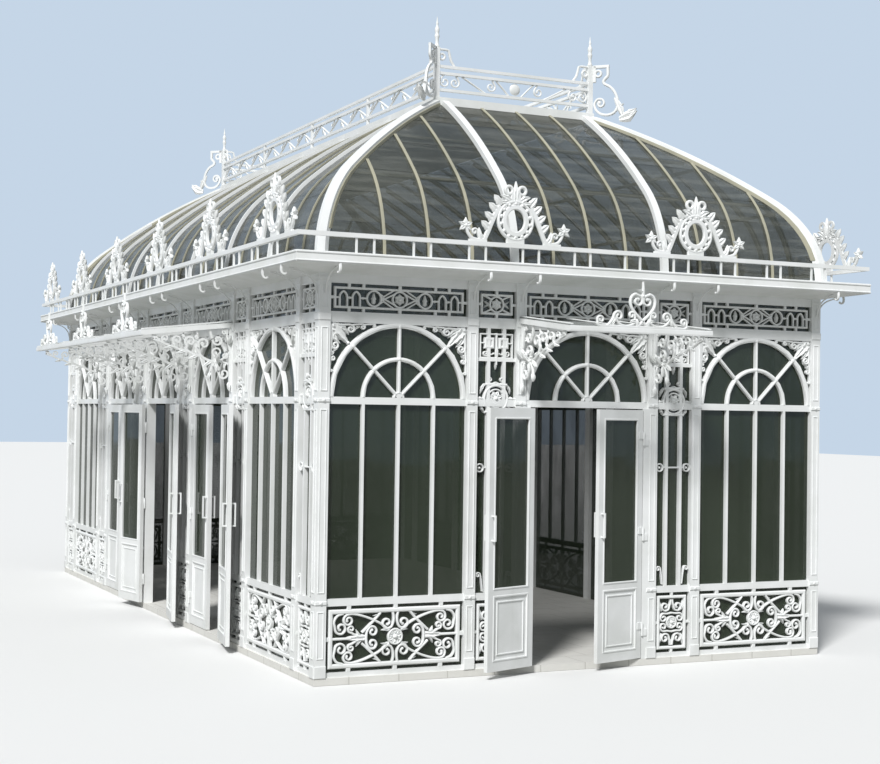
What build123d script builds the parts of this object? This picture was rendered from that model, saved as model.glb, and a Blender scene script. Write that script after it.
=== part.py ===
import math
import os

from build123d import *

# Ornate glass greenhouse: iron frame on a thin floor slab, curved hipped glass
# roof up to a railed ridge platform, glazed canopies over the doorways.
# Millimetres, +Z up, front (short side with one doorway) facing -Y, long side
# with three doorways facing -X, origin on the ground at the plan centre.

# Bays, as clear widths between posts
post_size = 100.0
window_clear = 1260.0
pier_clear = 370.0
front_bays = "WPDPW"
long_bays_left = "PWPDPDPDPWP"
long_bays_right = "PWPWPWPWPWP"
back_bays = "WPWPW"

# Heights from the ground
slab_thickness = 60.0
panel_bottom = 100.0
sill_bottom = 645.0
sill_height = 60.0
transom_bottom = 2310.0
transom_height = 60.0
frieze_rail_height = 90.0
frieze_rail_overlap = 15.0
frieze_opening = 235.0
wall_plate_height = 76.0

# Bars of the glazed walls, as depth into the wall from its outer face
bar_front = 15.0
bar_depth = 35.0
glass_thickness = 6.0
glass_gap = 0.5
mullion_width = 26.0
side_mullion_offset = 323.0
arch_width = 38.0
inner_arch_radius = 338.0
inner_arch_width = 28.0
spoke_width = 24.0
pier_bar_width = 30.0
pier_rail_bottom = 2700.0
pier_rail_height = 30.0
pier_bar_offset = 75.0

# Doorways
door_frame_width = 50.0
leaf_thickness = 40.0
leaf_side_gap = 5.0
leaf_middle_gap = 12.0
leaf_floor_gap = 8.0
leaf_top_gap = 10.0
leaf_stile = 75.0
leaf_top_rail = 95.0
leaf_panel_top = 770.0
leaf_panel_thickness = 24.0
pin_outside = 10.0
handle_bottom = 1170.0
handle_length = 220.0
handle_reach = 45.0
handle_bar = 14.0
handle_seat = 0.3
hinge_end_gap = 260.0
hinge_knuckle = 60.0
hinge_radius = 9.0
hinge_clearance = 0.3
hinge_strap = 55.0
hinge_plate = 8.0

# Eave
eave_reach = 327.0
eave_rise = 51.0
fascia_height = 93.0
eave_railing_height = 160.0
eave_rail_height = 36.0
eave_rail_depth = 40.0
eave_railing_inset = 8.0
baluster_size = 16.0
baluster_pair = 155.0
baluster_pitch = 508.0

# Crests over the pier bays: an oval ring with a palmette on top and a curved wing each side
crest_thickness = 24.0
crest_ring_width = 350.0
crest_ring_height = 350.0
crest_ring_band = 66.0
crest_foot = 20.0
crest_wing_foot = 95.0
crest_palmette = 150.0
crest_wing_reach = 460.0
crest_wing_band = 32.0
crest_bud_radius = 46.0

# Roof, as a profile of two tangent arcs
roof_inset = 1680.0
roof_end_inset = 1450.0
lower_radius = 1050.0
lower_angle = 49.6
upper_radius = 6230.0
roof_glass_thickness = 8.0
rib_depth = 45.0
thick_rib_width = 70.0
thick_rib_offset = 770.0
hip_width = 90.0
side_rib_width = 34.0
side_rib_depth = 30.0
first_side_rib = 1260.0
side_rib_pitch = 1270.0
side_rib_end_gap = 600.0
pane_rows_lower = 3
pane_rows_upper = 3
pane_joint = 4.0

# Ridge platform and its railing
platform_thickness = 76.0
ridge_post = 50.0
ridge_post_height = 480.0
ridge_bottom_rail = 75.0
ridge_second_rail = 235.0
ridge_top_rail = 300.0
ridge_rail_height = 26.0
ridge_rail_depth = 36.0
ridge_posts_between = 3
finial_height = 295.0
finial_radius = 24.0

# Scroll that leans out from each corner post: an arm, a waist, a wide bend, a coil and a leaf
ridge_scroll_thickness = 26.0
ridge_scroll_band = 30.0
ridge_scroll_back = 170.0
ridge_scroll_arm = 165.0
ridge_scroll_arm_drop = 90.0
ridge_scroll_waist = 105.0
ridge_scroll_waist_drop = 165.0
ridge_scroll_bend = 255.0
ridge_scroll_bend_height = 95.0
ridge_scroll_low = 20.0
ridge_coil_radius = 58.0
ridge_leaf_reach = 450.0
ridge_leaf_drop = 80.0

# Canopies
canopy_reach = 860.0
canopy_below_rail_top = 15.0
canopy_drop = 100.0
canopy_beam = 46.0
canopy_glass_thickness = 8.0
bracket_thickness = 24.0
bracket_drop = 560.0
canopy_crest_thickness = 22.0
canopy_crest_band = 24.0
canopy_crest_height = 300.0
canopy_crest_half_width = 430.0
canopy_spike = 130.0

# Sides of the many-sided bars that stand for rolled curves
arch_sides = 10
ring_sides = 8
scroll_sides = 6
turned_sides = 6

# Sizes that follow from the bays
module_width = {"W": window_clear, "D": window_clear, "P": pier_clear}


def wallLength(bays):
    return post_size + sum(module_width[bay] + post_size for bay in bays)


width = wallLength(front_bays)
length = wallLength(long_bays_left)
side_rib_count = int((length - first_side_rib - side_rib_end_gap) // side_rib_pitch) + 1
slab_top = slab_thickness
transom_top = transom_bottom + transom_height
arch_radius = window_clear / 2
frieze_rail_bottom = transom_top + arch_radius - frieze_rail_overlap
frieze_rail_top = frieze_rail_bottom + frieze_rail_height
plate_bottom = frieze_rail_top + frieze_opening
wall_top = plate_bottom + wall_plate_height
fascia_bottom = wall_top + eave_rise
eave_top = fascia_bottom + fascia_height
over_all = eave_top + width
glass_front = bar_front + bar_depth + glass_gap
canopy_wall_height = frieze_rail_top - canopy_below_rail_top


def save(node, shape):
    export_step(shape, os.path.join("parts", node + ".step"))


def rect(u0, u1, z0, z1):
    return Pos((u0 + u1) / 2, (z0 + z1) / 2) * Rectangle(u1 - u0, z1 - z0)


def slabOf(sketch, v0, v1):
    """Extrudes a drawing of a wall, u across and z up, from depth v0 to v1."""
    return extrude(Plane.XZ.offset(-v0) * sketch, amount=-(v1 - v0))


def blockOf(u0, u1, v0, v1, z0, z1):
    return Pos((u0 + u1) / 2, (v0 + v1) / 2, (z0 + z1) / 2) * Box(u1 - u0, v1 - v0, z1 - z0)


def outlineOf(points):
    return make_face(Polyline(*points, close=True))


def ovalPoints(u, z, half_u, half_z, start, stop, sides):
    """Points on an oval from one angle to another, both ends included."""
    angles = [math.radians(start + (stop - start) * index / sides) for index in range(sides + 1)]
    return [(u + half_u * math.cos(angle), z + half_z * math.sin(angle)) for angle in angles]


def bowOf(u, z, outer, inner, sides):
    """Upper half of a ring, a bar rolled into a half circle."""
    points = ovalPoints(u, z, outer, outer, 0, 180, sides)
    points += ovalPoints(u, z, inner, inner, 180, 0, sides)
    return outlineOf(points)


def ovalRing(u, z, half_u, half_z, band, sides):
    outer = outlineOf(ovalPoints(u, z, half_u, half_z, 0, 360, sides)[:-1])
    inner = outlineOf(ovalPoints(u, z, half_u - band, half_z - band, 0, 360, sides)[:-1])
    return outer - inner


def strokeOf(points, first_width, last_width):
    """Flat bar along a line of points, tapering from one width to the other."""
    left = []
    right = []
    last = len(points) - 1
    for index, (u, z) in enumerate(points):
        before = points[max(index - 1, 0)]
        after = points[min(index + 1, last)]
        run = math.hypot(after[0] - before[0], after[1] - before[1])
        across = (-(after[1] - before[1]) / run, (after[0] - before[0]) / run)
        half = (first_width + (last_width - first_width) * index / last) / 2
        left.append((u + across[0] * half, z + across[1] * half))
        right.append((u - across[0] * half, z - across[1] * half))
    return outlineOf(left + right[::-1])


def bendPoints(start, pull_start, pull_end, end, sides):
    """Points of a smooth bend from start to end, drawn towards the two pulls."""
    points = []
    for index in range(sides + 1):
        t = index / sides
        weights = ((1 - t) ** 3, 3 * t * (1 - t) ** 2, 3 * t * t * (1 - t), t ** 3)
        points.append(tuple(sum(w * p[axis] for w, p in zip(weights, (start, pull_start, pull_end, end)))
                            for axis in (0, 1)))
    return points


def spiralPoints(u, z, first_radius, last_radius, start, stop, sides):
    points = []
    for index in range(sides + 1):
        share = index / sides
        radius = first_radius + (last_radius - first_radius) * share
        angle = math.radians(start + (stop - start) * share)
        points.append((u + radius * math.cos(angle), z + radius * math.sin(angle)))
    return points


def fuse(shapes):
    shapes = [shape for shape in shapes if shape is not None]
    if len(shapes) == 1:
        return shapes[0]
    return shapes[0].fuse(*shapes[1:])


def bayStarts(bays):
    """Left edge of each clear bay, measured along the wall from its left end."""
    starts = []
    u = post_size
    for bay in bays:
        starts.append(u)
        u += module_width[bay] + post_size
    return starts


# Local drawings of one bay, from its clear left edge

def railsOf(start, clear):
    end = start + clear
    return [
        rect(start, end, slab_top, panel_bottom),
        rect(start, end, sill_bottom, sill_bottom + sill_height),
        rect(start, end, transom_bottom, transom_top),
        rect(start, end, frieze_rail_bottom, frieze_rail_top),
        rect(start, end, plate_bottom, wall_top),
    ]


def fanlight(start, clear):
    """Semicircular arch with an inner arch and three spokes on the transom."""
    middle = start + clear / 2
    arches = bowOf(middle, transom_top, arch_radius, arch_radius - arch_width, arch_sides)
    arches += bowOf(middle, transom_top, inner_arch_radius, inner_arch_radius - inner_arch_width, arch_sides)
    spokes = []
    reach = arch_radius - arch_width / 2
    for angle in (45, 90, 135):
        spokes.append(Pos(middle, transom_top) * Rot(0, 0, angle) * Pos(reach / 2, 0)
                      * Rectangle(reach, spoke_width))
    return arches + spokes


def windowBars(start, clear):
    middle = start + clear / 2
    z0 = sill_bottom + sill_height
    bars = [rect(middle + offset - mullion_width / 2, middle + offset + mullion_width / 2, z0, transom_bottom)
            for offset in (-side_mullion_offset, 0, side_mullion_offset)]
    return bars


def pierBars(start, clear):
    middle = start + clear / 2
    z0 = sill_bottom + sill_height
    bars = [rect(start, start + clear, pier_rail_bottom, pier_rail_bottom + pier_rail_height)]
    for side in (-1, 1):
        u = middle + side * pier_bar_offset
        bars.append(rect(u - pier_bar_width / 2, u + pier_bar_width / 2, z0, frieze_rail_bottom))
    return bars


def bayFrame(bay, start):
    """Solids of one bay's ironwork between its posts."""
    clear = module_width[bay]
    if bay == "D":
        end = start + clear
        bars = [rect(start, end, transom_bottom, transom_top),
                rect(start, end, frieze_rail_bottom, frieze_rail_top),
                rect(start, end, plate_bottom, wall_top), fanlight(start, clear)]
    elif bay == "W":
        bars = railsOf(start, clear) + [fanlight(start, clear)] + windowBars(start, clear)
    else:
        bars = railsOf(start, clear) + pierBars(start, clear)
    return [slabOf(Sketch() + bars, bar_front, bar_front + bar_depth)]


def postAt(start):
    return blockOf(start, start + post_size, 0, post_size, slab_top, wall_top)


def knuckleAt(z0, z1):
    return Pos(0, 0, (z0 + z1) / 2) * extrude(RegularPolygon(hinge_radius, turned_sides), amount=(z1 - z0) / 2,
                                              both=True)


def fixedHinge(z, direction):
    """Lower knuckle and plate on the door frame, pin axis at u = 0 and v = 0, frame towards direction."""
    u0, u1 = sorted((0, direction * (door_frame_width - hinge_clearance)))
    plate = blockOf(u0, u1, pin_outside - hinge_plate, pin_outside, z - hinge_knuckle, z)
    return [knuckleAt(z - hinge_knuckle, z), plate]


def movingHinge(z):
    """Upper knuckle and strap of a leaf that reaches to +u."""
    z0 = z + hinge_clearance
    strap = blockOf(0, leaf_side_gap + hinge_strap, pin_outside - hinge_plate, pin_outside, z0, z + hinge_knuckle)
    return [knuckleAt(z0, z + hinge_knuckle), strap]


def hingeHeights():
    low = slab_top + leaf_floor_gap + hinge_end_gap
    high = transom_bottom - leaf_top_gap - hinge_end_gap
    return (low, (low + high) / 2, high)


def doorFrame(start, left):
    u0 = start if left else start + window_clear - door_frame_width
    parts = [blockOf(u0, u0 + door_frame_width, 0, post_size, slab_top, transom_bottom)]
    pin = u0 + door_frame_width if left else u0
    for z in hingeHeights():
        parts += [Pos(pin, -pin_outside, 0) * part for part in fixedHinge(z, -1 if left else 1)]
    return fuse(parts)


def wallRun(bays, first, last, own_first_post=True, own_last_post=True):
    """Fuses bays first..last with their posts; a neighbouring doorway gives a door frame."""
    starts = bayStarts(bays)
    pieces = []
    for index in range(first, last + 1):
        pieces += bayFrame(bays[index], starts[index])
        if index > first or own_first_post:
            pieces.append(postAt(starts[index] - post_size))
    if own_last_post:
        pieces.append(postAt(starts[last] + module_width[bays[last]]))
    if first > 0 and bays[first - 1] == "D":
        pieces.append(doorFrame(starts[first - 1], False))
    if last + 1 < len(bays) and bays[last + 1] == "D":
        pieces.append(doorFrame(starts[last + 1], True))
    return fuse(pieces)


def paneOf(bays, index):
    start = bayStarts(bays)[index]
    clear = module_width[bays[index]]
    z0 = slab_top if bays[index] != "D" else transom_bottom
    return blockOf(start, start + clear, glass_front, glass_front + glass_thickness, z0, wall_top)


# Places of the four walls: each local wall has u to the right as seen from outside
front_place = Pos(-width / 2, -length / 2, 0)
back_place = Pos(width / 2, length / 2, 0) * Rot(0, 0, 180)
left_place = Pos(-width / 2, length / 2, 0) * Rot(0, 0, -90)
right_place = Pos(width / 2, -length / 2, 0) * Rot(0, 0, 90)


def buildWalls():
    save("floor_slab", Pos(0, 0, slab_thickness / 2) * Box(width, length, slab_thickness))
    save("front_wall_left", front_place * wallRun(front_bays, 0, 1))
    save("front_wall_right", front_place * wallRun(front_bays, 3, 4))
    save("front_door_head", front_place * fuse(bayFrame("D", bayStarts(front_bays)[2])))
    save("back_wall", back_place * wallRun(back_bays, 0, 4))
    save("right_wall", right_place * wallRun(long_bays_right, 0, 10, False, False))
    save("left_wall_rear", left_place * wallRun(long_bays_left, 0, 2, False, True))
    save("left_wall_front", left_place * wallRun(long_bays_left, 8, 10, True, False))
    piers = [left_place * wallRun(long_bays_left, index, index) for index in (4, 6)]
    save("left_door_piers", Compound(children=piers))
    starts = bayStarts(long_bays_left)
    heads = [left_place * fuse(bayFrame("D", starts[index])) for index in (3, 5, 7)]
    save("left_door_heads", Compound(children=heads))
    for node, place, bays in (("front_glass", front_place, front_bays), ("back_glass", back_place, back_bays),
                              ("left_glass", left_place, long_bays_left),
                              ("right_glass", right_place, long_bays_right)):
        panes = [place * paneOf(bays, index) for index in range(len(bays))]
        save(node, Compound(children=panes))


# Door leaves

leaf_width = (window_clear - 2 * door_frame_width - 2 * leaf_side_gap - leaf_middle_gap) / 2
leaf_bottom = slab_top + leaf_floor_gap
leaf_top = transom_bottom - leaf_top_gap


def leafFrame():
    """A leaf hinged at u = 0 that reaches to +u when closed, its pin pin_outside before the wall."""
    u0 = leaf_side_gap
    u1 = u0 + leaf_width
    outline = rect(u0, u1, leaf_bottom, leaf_top)
    light = rect(u0 + leaf_stile, u1 - leaf_stile, leaf_panel_top, leaf_top - leaf_top_rail)
    field = rect(u0 + leaf_stile, u1 - leaf_stile, leaf_bottom + leaf_top_rail, leaf_panel_top - leaf_stile)
    v0 = pin_outside
    frame = slabOf(outline - light - field, v0, v0 + leaf_thickness)
    inset = (leaf_thickness - leaf_panel_thickness) / 2
    panel = slabOf(field, v0 + inset, v0 + inset + leaf_panel_thickness)
    hinges = [part for z in hingeHeights() for part in movingHinge(z)]
    return fuse([frame, panel] + hinges)


def leafHandles():
    """A D-shaped grip on each face of the free stile."""
    u = leaf_side_gap + leaf_width - leaf_stile / 2
    half = handle_bar / 2
    handles = []
    for face, direction in ((pin_outside, -1), (pin_outside + leaf_thickness, 1)):
        seat = face + direction * handle_seat
        outer = face + direction * handle_reach
        bars = [slabOf(rect(u - half, u + half, handle_bottom, handle_bottom + handle_length),
                       *sorted((outer - direction * handle_bar, outer)))]
        for z in (handle_bottom, handle_bottom + handle_length - handle_bar):
            bars.append(slabOf(rect(u - half, u + half, z, z + handle_bar), *sorted((seat, outer))))
        handles.append(fuse(bars))
    return handles


def leafGlass():
    u0 = leaf_side_gap + leaf_stile
    u1 = leaf_side_gap + leaf_width - leaf_stile
    v0 = pin_outside + (leaf_thickness - glass_thickness) / 2
    return blockOf(u0, u1, v0, v0 + glass_thickness, leaf_panel_top, leaf_top - leaf_top_rail)


# name, wall place, bays, bay index, hinged on its left side as seen from outside, rest angle
door_leaves = [
    ("front_door_left", front_place, front_bays, 2, True, 160.0),
    ("front_door_right", front_place, front_bays, 2, False, 16.0),
    ("side_door_1_near", left_place, long_bays_left, 7, False, 170.0),
    ("side_door_1_far", left_place, long_bays_left, 7, True, 0.0),
    ("side_door_2_near", left_place, long_bays_left, 5, False, 170.0),
    ("side_door_2_far", left_place, long_bays_left, 5, True, 170.0),
    ("side_door_3_near", left_place, long_bays_left, 3, False, 0.0),
    ("side_door_3_far", left_place, long_bays_left, 3, True, 0.0),
]


def buildDoors():
    frame = Compound(children=[leafFrame()] + leafHandles())
    glass = leafGlass()
    for name, place, bays, index, on_left, angle in door_leaves:
        start = bayStarts(bays)[index]
        for kind, shape in (("frame", frame), ("glass", glass)):
            if on_left:
                pin = start + door_frame_width
                leaf = Pos(pin, -pin_outside, 0) * Rot(0, 0, -angle) * shape
            else:
                pin = start + window_clear - door_frame_width
                leaf = Pos(pin, -pin_outside, 0) * Rot(0, 0, angle) * mirror(shape, about=Plane.YZ)
            save(name + "_" + kind, place * leaf)


# Eave and its railing

def mitred(half_long, half_short, inner, outer, z0, z1, end):
    """Trapezoid prism for one side's sector of the plan, between its two 45 degree corners."""
    if end:
        points = [(-half_short - outer, -half_long - outer), (half_short + outer, -half_long - outer),
                  (half_short - inner, -half_long + inner), (-half_short + inner, -half_long + inner)]
    else:
        points = [(-half_short - outer, -half_long - outer), (-half_short + inner, -half_long + inner),
                  (-half_short + inner, half_long - inner), (-half_short - outer, half_long + outer)]
    face = make_face(Polyline(*points, close=True))
    return extrude(Pos(0, 0, z0) * face, amount=z1 - z0)


def sideSector(end, inner):
    """Wedge of plan space that belongs to the front (end) or the left side."""
    return mitred(length / 2, width / 2, inner, eave_reach + 10, 0, over_all, end)


def roofSector(end):
    """Wedge of plan space of the front slope (end) or the left slope, from beyond the eave to the platform."""
    (x_out, y_out), (x_in, y_in) = [(width / 2 - share * roof_inset, length / 2 - share * roof_end_inset)
                                    for share in (-0.3, 1)]
    if end:
        points = [(-x_out, -y_out), (x_out, -y_out), (x_in, -y_in), (-x_in, -y_in)]
    else:
        points = [(-x_out, -y_out), (-x_in, -y_in), (-x_in, y_in), (-x_out, y_out)]
    return extrude(outlineOf(points), amount=over_all)


def eaveProfile():
    points = [(0, wall_top), (-eave_reach, fascia_bottom), (-eave_reach, eave_top), (post_size, eave_top),
              (post_size, wall_top)]
    return make_face(Polyline(*points, close=True))


def sweepSide(profile, end):
    """Runs a profile, drawn as inset and height, along the front or the left side and mitres it."""
    if end:
        run = width + 2 * eave_reach + 40
        plane = Plane(origin=(-run / 2, -length / 2, 0), x_dir=(0, 1, 0), z_dir=(1, 0, 0))
        body = extrude(plane * profile, amount=run)
    else:
        run = length + 2 * eave_reach + 40
        plane = Plane(origin=(-width / 2, run / 2, 0), x_dir=(1, 0, 0), z_dir=(0, -1, 0))
        body = extrude(plane * profile, amount=run)
    return body


def pairOf(shape):
    other = Rot(0, 0, 180) * shape
    return Compound(children=[shape, other])


def buildEave():
    for end, name in ((True, "eave_ends"), (False, "eave_sides")):
        body = sweepSide(eaveProfile(), end) & sideSector(end, post_size + 1)
        save(name, pairOf(body))


def railingOf(run, top):
    """Straight railing from u = 0 to run: a rail on pairs of balusters, standing on z = 0."""
    parts = [blockOf(0, run, 0, eave_rail_depth, top - eave_rail_height, top)]
    count = max(1, int((run - 200) // baluster_pitch))
    first = (run - (count - 1) * baluster_pitch) / 2
    middle = eave_rail_depth / 2
    half = baluster_size / 2
    for index in range(count):
        for side in (-1, 1):
            u = first + index * baluster_pitch + side * baluster_pair / 2
            parts.append(blockOf(u - half, u + half, middle - half, middle + half, 0, top - eave_rail_height))
    return parts


def crestOutline():
    """Upright oval ring with a palmette and a curved wing each side, standing on z = 0, centred on u = 0."""
    half_u = crest_ring_width / 2
    half_z = crest_ring_height / 2
    ring_z = crest_foot + half_z
    top = crest_foot + crest_ring_height
    outline = ovalRing(0, ring_z, half_u, half_z, crest_ring_band, ring_sides)
    outline += rect(-half_u / 2, half_u / 2, 0, crest_foot * 2)
    lobe = crest_palmette / 2
    outline += outlineOf(ovalPoints(0, top + lobe - crest_foot, lobe * 0.7, lobe, 0, 360, 6)[:-1])
    for side in (-1, 1):
        wing = bendPoints((side * half_u * 0.9, ring_z + half_z * 0.5), (side * half_u * 1.7, ring_z),
                          (side * crest_wing_reach * 0.65, 0), (side * crest_wing_reach, crest_bud_radius * 2), 3)
        outline += strokeOf(wing, crest_wing_band * 1.3, crest_wing_band * 0.7)
        foot = side * crest_wing_reach * 0.74
        outline += rect(foot - crest_wing_band / 2, foot + crest_wing_band / 2, 0, crest_wing_foot)
        outline += outlineOf(ovalPoints(side * crest_wing_reach, crest_bud_radius * 2.6, crest_bud_radius * 0.8,
                                        crest_bud_radius, 90, 450, 4)[:-1])
    return outline


def crestCentres(bays):
    starts = bayStarts(bays)
    return [starts[i] + pier_clear / 2 for i, bay in enumerate(bays) if bay == "P"]


def crestsOn(bays, overhang):
    v0 = (eave_rail_depth - crest_thickness) / 2
    return [slabOf(Pos(centre + overhang, eave_railing_height) * crestOutline(), v0, v0 + crest_thickness)
            for centre in crestCentres(bays)]


def buildEaveRailings():
    reach = eave_reach - eave_railing_inset
    run = width + 2 * reach
    ends = fuse(railingOf(run, eave_railing_height))
    front = Pos(-width / 2 - reach, -length / 2 - reach, eave_top)
    back = Pos(width / 2 + reach, length / 2 + reach, eave_top) * Rot(0, 0, 180)
    save("eave_railing_ends", Compound(children=[front * ends, back * ends]))
    inner = reach - eave_rail_depth
    sides = fuse(railingOf(length + 2 * inner, eave_railing_height))
    left = Pos(-width / 2 - reach, length / 2 + inner, eave_top) * Rot(0, 0, -90)
    right = Pos(width / 2 + reach, -length / 2 - inner, eave_top) * Rot(0, 0, 90)
    save("eave_railing_sides", Compound(children=[left * sides, right * sides]))
    crests = [place * crest for place in (front, back) for crest in crestsOn(front_bays, reach)]
    crests += [place * crest for place in (left, right) for crest in crestsOn(long_bays_left, inner)]
    save("eave_crests", Compound(children=crests))


# Roof

lower_end = (lower_radius * (1 - math.cos(math.radians(lower_angle))),
             lower_radius * math.sin(math.radians(lower_angle)))


def lowerPoint(angle, offset):
    r = lower_radius + offset
    return (lower_radius - r * math.cos(math.radians(angle)), eave_top + r * math.sin(math.radians(angle)))


def upperPoint(turn, offset):
    """Point on the upper arc after turning by turn degrees past the end of the lower arc."""
    angle = lower_angle + turn
    r = upper_radius + offset
    centre = (lower_end[0] + upper_radius * math.cos(math.radians(lower_angle)),
              eave_top + lower_end[1] - upper_radius * math.sin(math.radians(lower_angle)))
    return (centre[0] - r * math.cos(math.radians(angle)), centre[1] + r * math.sin(math.radians(angle)))


def turnAtInset():
    """Turn of the upper arc where it meets the platform's side."""
    low = 0.0
    high = 30.0
    for step in range(60):
        middle = (low + high) / 2
        if upperPoint(middle, 0)[0] < roof_inset:
            low = middle
        else:
            high = middle
    return low


end_turn = turnAtInset()
platform_bottom = upperPoint(end_turn, 0)[1]
platform_top = platform_bottom + platform_thickness


def bandFace(inner, outer, start, stop):
    """Curved strip of the roof profile between two offsets, along path values 0..2 (0..1 lower, 1..2 upper)."""
    def point(value, offset):
        if value <= 1:
            return lowerPoint(value * lower_angle, offset)
        return upperPoint((value - 1) * end_turn, offset)

    def edges(offset):
        result = []
        cuts = [start] + [value for value in (1.0,) if start < value < stop] + [stop]
        for a, b in zip(cuts[:-1], cuts[1:]):
            result.append(ThreePointArc(point(a, offset), point((a + b) / 2, offset), point(b, offset)))
        return result

    outer_edges = edges(outer)
    inner_edges = edges(inner)
    caps = [Line(point(start, inner), point(start, outer)), Line(point(stop, inner), point(stop, outer))]
    return make_face(Wire(outer_edges + inner_edges + caps))


def endFace(face):
    """The same strip for an end, whose shorter inset keeps the hips straight in plan."""
    return scale(face, by=(roof_end_inset / roof_inset, 1, 1))


def buildRoof():
    deck = Pos(0, 0, platform_bottom + platform_thickness / 2) * Box(
        width - 2 * roof_inset, length - 2 * roof_end_inset, platform_thickness)
    save("ridge_platform", deck)
    wedge_end = roofSector(True)
    wedge_side = roofSector(False)
    # glass in rows that follow the curve
    rows = [(i / pane_rows_lower, (i + 1) / pane_rows_lower) for i in range(pane_rows_lower)]
    rows += [(1 + i / pane_rows_upper, 1 + (i + 1) / pane_rows_upper) for i in range(pane_rows_upper)]
    path_lower = math.radians(lower_angle) * lower_radius
    path_upper = math.radians(end_turn) * upper_radius
    for end, wedge, name in ((True, wedge_end, "roof_glass_ends"), (False, wedge_side, "roof_glass_sides")):
        panes = []
        for a, b in rows:
            path = path_lower if a < 1 else path_upper
            step = pane_joint / path
            face = bandFace(-roof_glass_thickness, 0, a, b - step)
            panes.append(sweepSide(endFace(face) if end else face, end) & wedge)
        both = [part for pane in panes for part in (pane, Rot(0, 0, 180) * pane)]
        save(name, Compound(children=both))
    # ribs stand on the eave and lean against the platform
    rib_face = bandFace(glass_gap, glass_gap + rib_depth, 0, 2)
    ribs = []

    def hipPlate(half):
        turn = math.degrees(math.atan2(roof_end_inset, roof_inset))
        run = math.hypot(roof_end_inset, roof_inset)
        return Pos(-width / 2, -length / 2, 0) * Rot(0, 0, turn) * blockOf(-500, run + 200, -half, half, 0, over_all)

    for x in (-thick_rib_offset, thick_rib_offset):
        rib = sweepSide(endFace(rib_face), True) & wedge_end
        rib = rib & blockOf(x - thick_rib_width / 2, x + thick_rib_width / 2, -length, 0, 0, over_all)
        clear = hipPlate(hip_width / 2 + glass_gap)
        ribs.append(rib - clear - mirror(clear, about=Plane.YZ))
    both = [part for rib in ribs for part in (rib, Rot(0, 0, 180) * rib)]
    save("roof_ribs", Compound(children=both))
    # lighter ribs on the long sides, the first and the last of them cut back to the hips
    side_face = bandFace(glass_gap, glass_gap + side_rib_depth, 0, 2)
    side_band = sweepSide(side_face, False) & wedge_side
    near = hipPlate(hip_width / 2 + glass_gap)
    side_band = side_band - near - mirror(near, about=Plane.XZ)
    lean = []
    for index in range(side_rib_count):
        y = -length / 2 + first_side_rib + index * side_rib_pitch
        strip = blockOf(-width, 0, y - side_rib_width / 2, y + side_rib_width / 2, 0, over_all)
        rib = side_band & strip
        lean += [rib, mirror(rib, about=Plane.YZ)]
    save("roof_side_ribs", Compound(children=lean))
    # hips
    whole = fuse([sweepSide(endFace(rib_face), True) & wedge_end, sweepSide(rib_face, False) & wedge_side])
    hip = whole & hipPlate(hip_width / 2)
    other = mirror(hip, about=Plane.YZ)
    hips = [hip, other, Rot(0, 0, 180) * hip, Rot(0, 0, 180) * other]
    save("roof_hips", Compound(children=hips))


# Ridge railing

def ridgePanel(run):
    """Railing from u = 0 to run between two corner posts that stand outside it."""
    half = ridge_rail_depth / 2
    parts = []
    for z in (ridge_bottom_rail, ridge_second_rail, ridge_top_rail):
        parts.append(blockOf(0, run, -half, half, z - ridge_rail_height / 2, z + ridge_rail_height / 2))
    return parts


def finialOf():
    """Turned spire of a corner post, standing on z = 0, as cones between rings of few sides."""
    levels = ((0.0, 1.0), (0.08, 1.0), (0.14, 0.6), (0.4, 0.45), (0.45, 0.7), (0.5, 0.42), (0.78, 0.28),
              (0.83, 0.48), (0.88, 0.25), (1.0, 0.1))
    sections = [Pos(0, 0, share * finial_height) * RegularPolygon(radius * finial_radius, turned_sides)
                for share, radius in levels]
    return loft(sections, ruled=True)


def cornerScroll():
    """S-scroll that leans out from a corner post, drawn as reach from the post's corner and height."""
    band = ridge_scroll_band
    top = ridge_post_height
    arm = ridge_scroll_arm - band / 2
    waist = (ridge_scroll_waist, top - ridge_scroll_waist_drop)
    bend = (ridge_scroll_bend, ridge_scroll_bend_height)
    coil = (ridge_coil_radius + band * 0.6, bend[1])
    deep = -(ridge_scroll_low * 4 + bend[1]) / 3
    outline = rect(0, band, top - ridge_scroll_back, top)
    outline += rect(0, ridge_scroll_arm, top - band, top)
    outline += rect(arm - band / 2, arm + band / 2, top - ridge_scroll_arm_drop, top)
    neck = bendPoints((arm, top - ridge_scroll_arm_drop + 5), (arm, top - ridge_scroll_arm_drop - band),
                      (waist[0], waist[1] + band), waist, 3)
    outline += strokeOf(neck, band, band)
    shoulder = bendPoints(waist, (waist[0], waist[1] - band), (bend[0], waist[1] - band), bend, 5)
    outline += strokeOf(shoulder, band, band)
    under = bendPoints(bend, (bend[0], deep), (coil[0] - ridge_coil_radius, deep),
                       (coil[0] - ridge_coil_radius, coil[1]), 6)
    outline += strokeOf(under, band, band)
    curl = spiralPoints(coil[0], coil[1], ridge_coil_radius, ridge_coil_radius * 0.42, 180, -150, scroll_sides + 1)
    outline += strokeOf(curl, band, band * 0.7)
    root = (ridge_leaf_reach * 0.7, -ridge_leaf_drop)
    outline += strokeOf([bend, (bend[0] + band, bend[1] * 0.3), root], band, band * 1.5)
    lobe = [(root[0] - band * 0.3, root[1] * 0.8), ((root[0] + ridge_leaf_reach) / 2, -ridge_leaf_drop * 0.4),
            (ridge_leaf_reach, 0)]
    outline += strokeOf(lobe, band * 1.7, band * 1.2)
    return outline


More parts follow.
